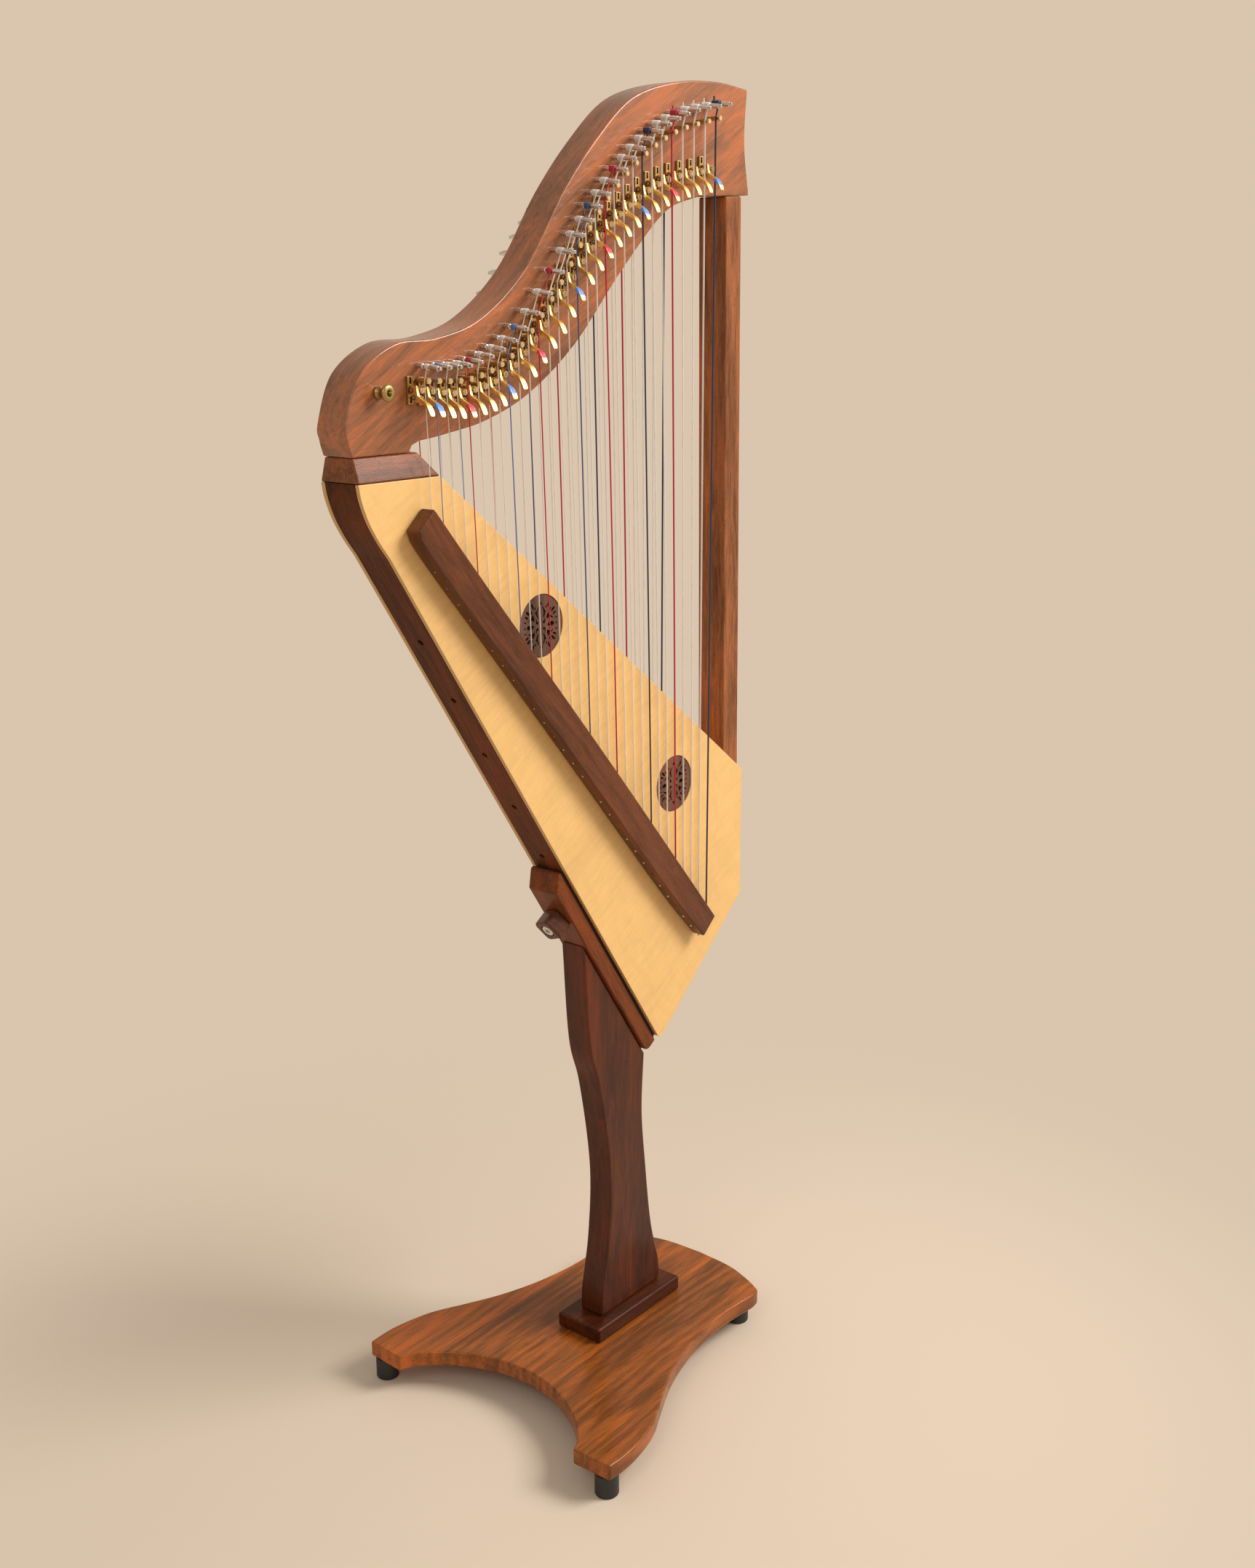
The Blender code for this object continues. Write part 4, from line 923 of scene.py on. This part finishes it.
def petal(length, width, start, points=14):
    """A pointed leaf that starts so far from the middle along X."""
    outline = []
    for turn in circle(points):
        along = (1 - math.cos(turn)) / 2
        across = width / 2 * math.sin(turn) * (0.55 + 0.9 * along) * (1.25 - along * 0.5)
        outline.append((start + length * along, across))
    return outline


def turned_leaf(degrees, start, length, width):
    """A leaf that points away from the middle of a rosette at an angle."""
    return [Matrix.Rotation(math.radians(degrees), 2) @ Vector(point)
            for point in petal(length, width, start)]


def rosette_holes():
    """The pierced pattern, in one quarter and mirrored: curls in the middle, framed almonds on
    the axes, points beyond them and sprays of leaves between."""
    curl = [(3.2, 2.8), (4.4, 1.7), (6.2, 2.1), (7.1, 4.0), (6.9, 6.4), (5.6, 8.8), (5.8, 6.2),
            (5.2, 4.7), (4.3, 4.9), (3.5, 4.1)]
    crescent = [(2.6, 7.8), (3.9, 10.0), (4.3, 13.2), (3.8, 16.2), (2.3, 19.6), (4.6, 18.2),
                (6.2, 15.6), (8.2, 14.2), (7.2, 12.4), (6.4, 10.2), (4.6, 8.4)]
    wedge = [(9.6, 5.0), (12.6, 6.5), (16.0, 6.7), (19.2, 5.4), (17.2, 7.8), (14.2, 9.4),
             (11.7, 12.0), (10.2, 10.8), (9.1, 8.2)]
    curves = [smooth([*shape, shape[0]], 3)[:-1] for shape in (curl, crescent, wedge)]
    sprays = ((27, 20.2, 5.8, 2.4), (38, 19.6, 7.6, 3.0), (47, 17.6, 5.6, 2.2),
              (60, 20.4, 6.8, 2.6), (66, 18.4, 3.4, 1.8), (14, 22.0, 3.4, 1.6))
    curves += [turned_leaf(*leaf) for leaf in sprays]
    side_point = ((24.8, 0), (22.2, 2.1), (22.7, 0), (22.2, -2.1))
    top_point = ((0, 25.4), (2.8, 20.6), (0, 21.6), (-2.8, 20.6))
    holes = []
    for across in (-1, 1):
        holes.append([(across * x, y) for x, y in petal(10.4, 5.2, 10.0)])
        holes.append([(across * x, y) for x, y in side_point])
        holes.append([(x, across * y) for x, y in top_point])
        for up in (-1, 1):
            holes += [[(across * x, up * y) for x, y in curve] for curve in curves]
    return [[(x / 1000, y / 1000) for x, y in hole] for hole in holes]


def plate_of(outline, y_from, y_to, centre):
    if area_of(outline) < 0:
        outline = outline[::-1]
    return slab([(x + centre[0], z + centre[1]) for x, z in outline], y_from, y_to)


def area_of(outline):
    return sum(a[0] * b[1] - b[0] * a[1] for a, b in zip(outline, [*outline[1:], outline[0]]))


class HARP_OT_sound_box(bpy.types.Operator):
    """Side panels, rosettes and the boards between the panels"""

    bl_idname = "harp.sound_box"
    bl_label = "Sound box"

    def execute(self, context):
        sizes = context.scene.harp_sizes
        shoulder = smooth([*BACK_CURVE, BACK_TOP])
        tip = (BOX_TIP_X, back_z(BOX_TIP_X))
        up_belly = (tip[0] + math.cos(BELLY_ANGLE), tip[1] + math.sin(BELLY_ANGLE))
        end = rounded(BACK_TOP, tip, up_belly, 0.0070)
        outline = [(BOX_TOP_RIGHT_X, BOX_TOP_Z), *shoulder, *end,
                   (BOX_FRONT_X, belly_z(BOX_FRONT_X)), (BOX_FRONT_X, BOX_FRONT_TOP_Z)]
        self.panels(sizes, outline)
        self.rosettes()
        self.back(shoulder, end)
        for name in ("front_board", "belly_board"):
            dressed(name, "birch_face")
        return {"FINISHED"}

    def panels(self, sizes, outline):
        for side, sign in SIDES:
            panel = slab(outline, sign * (BOX_HALF - PANEL_THICK), sign * BOX_HALF,
                         sizes.ply_round, 2, 30.0)
            for centre in ROSETTES.values():
                through = plate_of(disc(ROSETTE_HOLE), sign * 0.01, sign * 0.04, centre)
                panel = carved(panel, through)
            painted(panel, 1, lambda face: abs(face.normal.y) < 0.6)
            piece(f"panel_{side}", panel, ["birch_face", "birch_edge"],
                  [f"side_panel_{side}"])

    def rosettes(self):
        holes = rosette_holes()
        for height, centre in ROSETTES.items():
            for side, sign in SIDES:
                face = sign * (BOX_HALF - ROSETTE_SUNK)
                back = face - sign * ROSETTE_THICK
                plate = soften(plate_of(disc(ROSETTE_RADIUS), back, face, centre), 0.0005, 2)
                cutter = gathered([plate_of(hole, back - sign * 0.01, face + sign * 0.01, centre)
                                   for hole in holes])
                piece(f"rosette_{height}_{side}_disc", carved(plate, cutter),
                      ["rosette_wood"], [f"rosette_{height}_{side}"])

    def back(self, shoulder, end):
        inside = []
        for before, place, after in zip(shoulder, shoulder[1:], [*shoulder[2:], on_back(0.05, 0)]):
            run = (after - before).normalized()
            inside.append(place + BOARD_THICK * Vector((-run.y, run.x)))
        outline = [*shoulder, *end, *BACK_JOINT, *reversed(inside),
                   (BACK_CURVE[0][0] + BOARD_THICK, BOX_TOP_Z)]
        board = slab(outline, SEAT - BOX_HALF + PANEL_THICK, BOX_HALF - PANEL_THICK - SEAT)
        holes = stamped(rod(0.0034, -0.02, 0.02, 24), map(insert_at, range(INSERTS)))
        board = carved(board, holes)
        piece("back_board_slats", board, ["back_walnut"], ["back_board"])


# Neck and pillar

def pillar_x(z, side):
    """The x of the pillar's left (0) or right (1) face at a height."""
    return BOX_FRONT_X - PILLAR_DEPTH * (1 - side) - (z - BOX_FRONT_TOP_Z) * PILLAR_LEAN


class HARP_OT_neck(bpy.types.Operator):
    """Shoulder block, pillar, neck and strap button"""

    bl_idname = "harp.neck"
    bl_label = "Neck"

    def execute(self, context):
        sizes = context.scene.harp_sizes
        self.shoulder()
        self.pillar(sizes)
        outline = smooth([*NECK_TAIL, *NECK_TOP])
        outline += smooth(NECK_HEAD, 6)[1:] + smooth(NECK_BOTTOM)
        outline += [Vector(place) for place in NECK_FOOT]
        body = slab(outline, -NECK_HALF, NECK_HALF, sizes.neck_round, 6, 50.0)
        piece("neck_body", body, ["neck_walnut"], ["neck"])
        self.button()
        return {"FINISHED"}

    def shoulder(self):
        low = (BACK_CURVE[0][0], -BOX_HALF, BOX_TOP_Z + SEAT)
        high = (BOX_TOP_RIGHT_X, BOX_HALF, NECK_FOOT_Z - SEAT)
        mesh = block(low, high)
        for vert in mesh.verts:
            if vert.co.z > (low[2] + high[2]) / 2:
                vert.co.y -= math.copysign(SHOULDER_TAPER[1], vert.co.y)
                if vert.co.x > (low[0] + high[0]) / 2:
                    vert.co.x -= SHOULDER_TAPER[0]
        piece("shoulder_wood", soften(mesh, 0.0017, 4, 20.0), ["block_walnut"],
              ["shoulder_block"])

    def pillar(self, sizes):
        first, last = NECK_BOTTOM[0], NECK_HEAD[-1]
        slope = (last[1] - first[1]) / (last[0] - first[0])
        outline = []
        for side in (0, 1):
            top_x = pillar_x(first[1], side)
            low_x = BOX_FRONT_X - PILLAR_DEPTH * (1 - side)
            low_z = belly_z(low_x) + (0.0060 + SEAT) / math.cos(BELLY_ANGLE)
            column = [(low_x, low_z), (low_x, BOX_FRONT_TOP_Z),
                      (top_x, first[1] + (top_x - first[0]) * slope - SEAT)]
            outline += column if side == 0 else column[::-1]
        post = slab(outline, -PILLAR_HALF, PILLAR_HALF, sizes.board_round, 4)
        piece("pillar_post", post, ["pillar_walnut"], ["pillar"])

    def button(self):
        profile = [(0, 0.0105), (0.0018, 0.0105), (0.0021, 0.0120), (0.0032, 0.0149),
                   (0.0052, 0.0150), (0.0066, 0.0145), (0.0074, 0.0136), (0.0074, 0.0128),
                   (0.0068, 0.0108), (0.0052, 0.0088), (0.0046, 0.0070), (0.0046, 0.0056),
                   (0.0050, 0.0040), (0.0059, 0.0026), (0.0061, 0.0018), (0.0059, 0.0003),
                   (0, 0.0003)]
        mesh = moved(turned(profile, 40), on_neck(BUTTON_PLACE, -1))
        piece("strap_button_brass", mesh, ["button_brass"], ["strap_button"],
              angle=60.0)


# Rails and strings

def lofted(rings):
    """A closed shape through rings that have the same number of points."""
    mesh = fresh()
    rows = [[mesh.verts.new(point) for point in ring] for ring in rings]
    for first, second in zip(rows, rows[1:]):
        for index in range(len(first)):
            after = (index + 1) % len(first)
            mesh.faces.new((first[index], first[after], second[after], second[index]))
    mesh.faces.new(rows[0][::-1])
    mesh.faces.new(rows[-1])
    bmesh.ops.recalc_face_normals(mesh, faces=mesh.faces)
    return mesh


def tube(path, radius, sides=8):
    """A round cord along a path of points. The radius is a number, or one for each point."""
    radii = radius if isinstance(radius, list) else [radius] * len(path)
    rings = []
    across = None
    for index, place in enumerate(path):
        run = (path[min(index + 1, len(path) - 1)] - path[max(index - 1, 0)]).normalized()
        across = across or run.orthogonal()
        across = (across - run * across.dot(run)).normalized()
        other = run.cross(across)
        rings.append([place + radii[index] * (math.cos(a) * across + math.sin(a) * other)
                      for a in circle(sides)])
    return lofted(rings)


def wound(row, sizes):
    """The path of one string in x, height and distance out from the neck."""
    out = STRING_Y - NECK_HALF
    radius = string_radius(sizes, row["share"])
    bridge, tuning = row["bridge"], row["tuning"]
    near = BRIDGE_GROOVE + radius
    far = PIN_SHANK + radius
    across = tuning.x - bridge.x
    up = tuning.y - out * math.sin(TUNING_DROOP) - bridge.y
    lean = math.atan2(across, up) - math.asin((far - near) / math.hypot(across, up))
    start = Vector((bridge.x - near, bridge.y))
    base = row["base"]
    fall = (base - start) / (start.y - base.y)
    low = base + fall * (base.y - row["knot"].y + 0.0006)
    path = [Vector((low.x, low.y, out)), Vector((base.x, base.y, out))]
    for step in range(5):
        turn = lean * step / 4
        path.append(Vector((bridge.x - near * math.cos(turn),
                            bridge.y + near * math.sin(turn), out)))
    steps = 16
    pitch = 2.15 * radius
    for step in range(sizes.windings * steps + 5):
        turn = lean + 2 * math.pi * step / steps
        inward = out - pitch * max(0.0, step - 2) / steps
        path.append(Vector((tuning.x - far * math.cos(turn),
                            tuning.y - inward * math.sin(TUNING_DROOP) + far * math.sin(turn),
                            inward)))
    if row["share"] > TAIL_SHARE:
        path += [path[-1] + Vector((0.4 * radius, rise, 0))
                 for rise in (1.5 * radius, TAIL_LENGTH)]
    return path


class HARP_OT_strings(bpy.types.Operator):
    """The two string rails, and the thirty strings of each row"""

    bl_idname = "harp.strings"
    bl_label = "Strings"

    def execute(self, context):
        sizes = context.scene.harp_sizes
        outline = smooth(RAIL_UPPER) + smooth(RAIL_LOWER)
        kinds = ("clear", "red", "blue")
        for side, sign in SIDES:
            rail = slab(outline, sign * RAIL_INNER, sign * RAIL_OUTER, sizes.board_round, 4)
            piece(f"rail_{side}", rail, ["rail_walnut"], [f"string_rail_{side}"])
            cords = []
            for row in strings_at():
                path = wound(row, sizes)
                radius = string_radius(sizes, row["share"])
                knot = [path[0] + Vector((0, step * 0.0006, 0)) for step in range(-2, 4)]
                swell = [radius * share for share in (0.4, 1.2, 1.6, 1.6, 1.2, 0.4)]
                cord = gathered([tube(path, radius), tube(knot, swell, 10)])
                cords.append(painted(cord, kinds.index(colour_of(row["number"]))))
            row_mesh = moved(gathered(cords), on_neck((0, 0), sign))
            piece(f"strings_{side}", row_mesh,
                  ["string_clear", "string_red", "string_blue"],
                  [f"string_rail_{side}"], angle=60.0)
        return {"FINISHED"}


# Levers and pins, drawn on the neck's face with Y up and Z out of the neck

def along_strip(stations):
    """For each place along a strip: the place, the way in, and the strip's left, right and depth.
    The stations are out, up, left, right and depth, in millimetres."""
    middle = smooth([station[:2] for station in stations], 3)
    sides = [smooth([(station[key], 0) for station in stations], 3) for key in (2, 3, 4)]
    last = len(middle) - 1
    for index, place in enumerate(middle):
        run = (middle[min(index + 1, last)] - middle[max(index - 1, 0)]).normalized()
        yield place, Vector((run.y, -run.x)), *(at_share(side, index / last).x for side in sides)


def strip_ring(place, inward, spots):
    """A ring round a strip, from points in x and depth."""
    depths = [(x, place + inward * depth) for x, depth in spots]
    return [Vector((x, spot.y, spot.x)) / 1000 for x, spot in depths]


def lever_strip():
    """The folded strip of a lever: a paddle, and a cheek along its left edge that turns in the
    fixed plate."""
    stations = [
        (6.2, 4.2, -2.5, -0.6, 5.5), (6.6, 0.5, -2.5, -0.2, 8.6), (7.9, -4.5, -2.5, 0.2, 7.2),
        (11.5, -7.3, -1.8, 0.9, 4.2), (15.8, -9.6, -1.9, 1.7, 3.2), (19.3, -12.6, -2.9, 2.8, 2.6),
        (21.8, -16.4, -3.0, 3.1, 2.2), (23.2, -19.4, -2.9, 3.0, 2.0), (24.0, -21.1, -2.4, 2.4, 1.7),
        (24.3, -21.8, -1.3, 1.3, 1.4)]
    rings = []
    for place, inward, left, right, deep in along_strip(stations):
        rings.append(strip_ring(place, inward, [
            (right, 0), (left, 0), (left, deep), (left + STRIP_THICK, deep),
            (left + STRIP_THICK, STRIP_THICK), (right, STRIP_THICK)]))
    return soften(lofted(rings), 0.00028, 2, 50.0)


def squarer(value, power):
    """A sine or a cosine drawn towards its ends, which makes a round outline squarer."""
    return math.copysign(abs(value) ** power, value)


def lever_sleeve():
    """The coloured sleeve over the paddle of a C or F lever, short of its tip."""
    places = list(along_strip([
        (15.8, -9.6, -1.9, 1.7, 3.3), (18.8, -12.1, -2.75, 2.6, 2.75),
        (21.0, -15.0, -2.98, 3.0, 2.4), (22.2, -17.2, -3.0, 3.1, 2.2)]))
    rings = []
    for place, inward, left, right, deep in places:
        wall = SLEEVE_END_WALL if place in (places[0][0], places[-1][0]) else SLEEVE_WALL
        half = (right - left) / 2 + wall
        rings.append(strip_ring(place, inward, [
            ((left + right) / 2 + half * squarer(math.cos(turn), 0.35),
             deep / 2 + (deep / 2 + wall) * squarer(math.sin(turn), 0.6))
            for turn in circle(16)]))
    return lofted(rings)


def screw_head(radius, height, slot_width):
    """A slotted screw head that stands on Z = 0."""
    head = turned([(0, height), (radius * 0.7, height), (radius * 0.94, height * 0.75),
                   (radius, height * 0.35), (radius, -0.0004), (0, -0.0004)], 20)
    slot = block((-radius * 1.2, -slot_width / 2, height * 0.45),
                 (radius * 1.2, slot_width / 2, height * 2))
    return carved(head, slot)


def lever_mesh(sleeve=None):
    """A whole lever about its pivot: brass strip 0, dark rings 1, screws 2 and a sleeve 3."""
    parts = [lever_strip()]
    for up, out in ((0, 0), (-6.3, 2.7)):
        face = Matrix.Translation((-0.0025, up / 1000, out / 1000)) @ Matrix.Rotation(
            -math.pi / 2, 4, "Y")
        ring = turned([(0, 0.0006), (0.0018, 0.0006), (0.0021, 0.0003), (0.0021, -0.0009),
                       (0, -0.0009)], 24)
        head = moved(screw_head(0.0014, 0.0005, 0.00035), Matrix.Translation((0, 0, 0.0005)))
        parts += [painted(moved(ring, face), 1), painted(moved(head, face), 2)]
    if sleeve:
        parts.append(painted(lever_sleeve(), 3))
    return gathered(parts)


def oblong(width, height, centre, steps=8):
    """The outline of a slot with round ends."""
    radius = width / 2
    reach = height / 2 - radius
    ends = []
    for lift, start in ((reach, 0), (-reach, math.pi)):
        for step in range(steps + 1):
            turn = start + math.pi * step / steps
            ends.append((centre[0] + radius * math.cos(turn),
                         centre[1] + lift + radius * math.sin(turn)))
    return ends


def lever_plate():
    """The fixed plate of a lever: slotted base bar 0 with a lug, and dark screws 1."""
    bar = block((-0.0034, -0.0125, -SEAT), (0.0034, 0.0125, 0.0026), 0.0004, 2)
    lifts = (-0.0085, 0.0085)
    slots = [laid(slab(oblong(0.0026, 0.0062, (0, lift)), 0.0008, -0.0040)) for lift in lifts]
    bar = carved(bar, gathered(slots))
    lug = block((-0.0008, -0.0040, 0.0022), (0.0030, 0.0040, 0.0090), 0.0005, 2)
    parts = [bar, lug]
    for lift in lifts:
        head = moved(screw_head(0.0016, 0.0009, 0.0004), Matrix.Translation((0, lift, 0.0011)))
        parts.append(painted(head, 1))
    return gathered(parts)


def barrel_mesh():
    """The banded stop beside each string, and the small ringed post below it."""
    barrel = turned([(0, 0.0130), (0.0022, 0.0130), (0.0026, 0.0126), (0.0031, 0.0120),
                     (0.0031, 0.0104), (0.0026, 0.0099), (0.0026, 0.0091), (0.0031, 0.0086),
                     (0.0031, 0.0052), (0.0027, 0.0047), (0.0027, 0.0040), (0.0033, 0.0034),
                     (0.0033, -SEAT), (0, -SEAT)], 28)
    post = turned([(0, 0.0122), (0.0008, 0.0122), (0.0010, 0.0118), (0.0010, 0.0106),
                   (0.0015, 0.0102), (0.0015, 0.0094), (0.0009, 0.0090), (0.0009, 0.0040),
                   (0.0016, 0.0034), (0.0016, -SEAT), (0, -SEAT)], 18)
    return gathered([barrel, moved(post, Matrix.Translation((0, -0.0063, 0)))])


def bridge_pin():
    """A bridge pin: dark stem 0 and bright end 1."""
    groove = STRING_Y - NECK_HALF
    pin = turned([(0, groove + 0.0045), (0.0022, groove + 0.0045), (0.0027, groove + 0.0040),
                  (0.0027, groove + 0.0022), (0.0022, groove + 0.0016),
                  (BRIDGE_GROOVE, groove + 0.0006), (BRIDGE_GROOVE, groove - 0.0006),
                  (0.0023, groove - 0.0018), (0.0023, 0.0016), (0.0029, 0.0009),
                  (0.0029, -SEAT), (0, -SEAT)], 24)
    return painted(pin, 1, lambda face: face.calc_center_median().z > groove + 0.0010)


def tuning_pin():
    """A tuning pin: a collar, the waist that the string is wound on, and a square end."""
    shaft = turned([(0, 0.0268), (0.0022, 0.0268), (0.0025, 0.0265), (0.0025, 0.0172),
                    (0.0023, 0.0168), (PIN_SHANK, 0.0164), (PIN_SHANK, 0.0090), (0.0017, 0.0086),
                    (0.0017, 0.0078), (0.0024, 0.0074), (0.0026, 0.0070), (0.0026, 0.0010),
                    (0.0028, 0.0006), (0.0028, -0.0010), (0, -0.0010)], 28)
    end = block((-0.00155, -0.00155, 0.0260), (0.00155, 0.00155, 0.0300), 0.0003, 2)
    return gathered([shaft, end])


class HARP_OT_pins(bpy.types.Operator):
    """Bridge pins, tuning pins, lever plates and the stops beside the strings"""

    bl_idname = "harp.pins"
    bl_label = "Pins and plates"

    def execute(self, context):
        rows = strings_at()
        droop = Matrix.Rotation(TUNING_DROOP, 4, "X")
        for side, sign in SIDES:
            bridges = [on_neck(row["bridge"], sign) for row in rows]
            tunings = [on_neck(row["tuning"], sign) @ droop for row in rows]
            plates = [on_neck(row["pivot"], sign) for row in rows]
            stops = [on_neck((row["run_x"] + 0.0006, row["pivot"].y), sign) for row in rows]
            piece(f"bridge_pins_{side}", stamped(bridge_pin(), bridges),
                  ["plate_brass", "bright_brass"], ["neck"])
            piece(f"tuning_pins_{side}", stamped(tuning_pin(), tunings), ["pin_nickel"],
                  ["neck"])
            piece(f"lever_plates_{side}", stamped(lever_plate(), plates),
                  ["plate_brass", "screw_black"], ["neck"])
            piece(f"stops_{side}", stamped(barrel_mesh(), stops), ["bright_brass"],
                  ["neck"])
        return {"FINISHED"}


class HARP_OT_levers(bpy.types.Operator):
    """The near levers, each on its own body, and the far levers, which are fixed"""

    bl_idname = "harp.levers"
    bl_label = "Levers"

    def execute(self, context):
        finishes = ["lever_brass", "screw_black", "pin_nickel"]
        sleeves = {"red": "sleeve_red", "blue": "sleeve_blue", "clear": None}
        lift = Matrix.Translation((0, 0, PIVOT_OUT))
        shapes = {kind: lever_mesh(sleeve) for kind, sleeve in sleeves.items()}
        fixed = {kind: [] for kind in sleeves}
        worn = {kind: finishes + [sleeve] * bool(sleeve) for kind, sleeve in sleeves.items()}
        for row in strings_at():
            kind = colour_of(row["number"])
            near = moved(shapes[kind].copy(), on_neck(row["pivot"], -1) @ lift)
            name = f"lever_{row['number']:02d}"
            piece(f"{name}_strip", near, worn[kind], [name], name)
            fixed[kind].append(on_neck(row["pivot"], 1) @ lift)
        for kind, places in fixed.items():
            piece(f"far_levers_{kind}", stamped(shapes[kind], places), worn[kind], ["neck"])
        return {"FINISHED"}


# Stage

class HARP_OT_stage(bpy.types.Operator):
    """The floor, the lamps and the camera of the photograph"""

    bl_idname = "harp.stage"
    bl_label = "Stage"

    def execute(self, context):
        stage = context.scene.harp_stage
        context.scene.view_settings.view_transform = "Standard"
        mesh = fresh()
        bmesh.ops.create_grid(mesh, x_segments=4, y_segments=4, size=12.0)
        floor = as_object("floor", mesh)
        floor.data.materials.append(floor_finish(stage))
        self.sky(context.scene, stage)
        self.lamp(context.scene, "key_lamp", (1.9, -2.3, 2.9), 1.7, stage.key_power)
        self.lamp(context.scene, "fill_lamp", (-2.6, -0.9, 2.7), 1.4, stage.fill_power)
        self.camera(context.scene)
        return {"FINISHED"}

    def lamp(self, scene, name, place, size, power):
        data = bpy.data.lights.new(name, "AREA")
        data.shape = "SQUARE"
        data.size = size
        data.energy = power
        lamp = bpy.data.objects.new(name, data)
        lamp.location = place
        aim = Vector(LAMPS_AIM) - lamp.location
        lamp.rotation_euler = aim.to_track_quat("-Z", "Y").to_euler()
        scene.collection.objects.link(lamp)

    def sky(self, scene, stage):
        """An even light from all round. Polished surfaces and the camera see other colours."""
        scene.world = scene.world or bpy.data.worlds.new("sky")
        scene.world.use_nodes = True
        sky = Nodes(scene.world.node_tree)
        sky.tree.nodes.clear()
        shader = sky.node("Background", sockets={"Color": (1.0, 0.95, 0.88),
                                                 "Strength": stage.sky})
        for ray, colour, strength in (("Is Glossy Ray", (1.0, 0.86, 0.70), stage.glow),
                                      ("Is Camera Ray", stage.floor, 1.0),
                                      ("Is Transmission Ray", stage.floor, 1.0)):
            seen = sky.node("LightPath", output=ray)
            other = sky.node("Background", sockets={"Color": colour, "Strength": strength})
            shader = sky.node("MixShader", sockets={0: seen, 1: shader, 2: other})
        sky.node("OutputWorld", sockets={"Surface": shader})

    def camera(self, scene):
        data = bpy.data.cameras.new("photo_camera")
        data.lens = CAMERA_LENS
        data.sensor_fit = "HORIZONTAL"
        data.sensor_width = CAMERA_SENSOR
        yaw, pitch, roll = map(math.radians, CAMERA_TURN)
        level = Vector((math.sin(yaw), math.cos(yaw), 0))
        right = Vector((math.cos(yaw), -math.sin(yaw), 0))
        up = Vector((0, 0, 1))
        ahead = level * math.cos(pitch) - up * math.sin(pitch)
        down = -(level * math.sin(pitch) + up * math.cos(pitch))
        across = right * math.cos(roll) + down * math.sin(roll)
        lower = -right * math.sin(roll) + down * math.cos(roll)
        turn = Matrix((across, -lower, -ahead)).transposed().to_4x4()
        camera = bpy.data.objects.new("photo_camera", data)
        camera.matrix_world = Matrix.Translation(CAMERA_PLACE) @ turn
        scene.collection.objects.link(camera)
        scene.camera = camera


def floor_finish(stage):
    """The floor's own colour near the harp, fading to the backdrop's colour with distance."""
    finish = Finish("floor_finish")
    x, y = finish.axis(0), finish.axis(1)
    reach = (x * x + y * y).root().stretch(0.25, 1.1)
    glow = finish.node("Emission", sockets={"Color": stage.floor, "Strength": 1.0})
    finish.done({"Base Color": stage.floor, "Roughness": 0.8})
    return finish.blend(reach, glow)


# Add-on

PIECES = (HARP_OT_base, HARP_OT_pedestal, HARP_OT_sound_box, HARP_OT_neck, HARP_OT_strings,
          HARP_OT_pins, HARP_OT_levers, HARP_OT_stage)


class HARP_PT_panel(bpy.types.Panel):
    """Sizes, colours and operators of the harp"""

    bl_idname = "HARP_PT_panel"
    bl_label = "Double-strung harp"
    bl_space_type = "VIEW_3D"
    bl_region_type = "UI"
    bl_category = "Harp"

    def draw(self, context):
        scene = context.scene
        for group in (scene.harp_sizes, scene.harp_colours, scene.harp_stage):
            box = self.layout.box()
            for key in group.__annotations__:
                box.prop(group, key)
        for operator in PIECES:
            self.layout.operator(operator.bl_idname)


GROUPS = {"harp_sizes": HarpSizes, "harp_colours": HarpColours, "harp_stage": HarpStage}
CLASSES = (*GROUPS.values(), *PIECES, HARP_PT_panel)


def register():
    for kind in CLASSES:
        bpy.utils.register_class(kind)
    for name, group in GROUPS.items():
        setattr(bpy.types.Scene, name, PointerProperty(type=group))


def unregister():
    for name in GROUPS:
        delattr(bpy.types.Scene, name)
    for kind in reversed(CLASSES):
        bpy.utils.unregister_class(kind)


def main():
    register()
    bpy.ops.harp.base()
    bpy.ops.harp.pedestal()
    bpy.ops.harp.sound_box()
    bpy.ops.harp.neck()
    bpy.ops.harp.strings()
    bpy.ops.harp.pins()
    bpy.ops.harp.levers()
    bpy.ops.harp.stage()


if __name__ == "__main__":
    main()
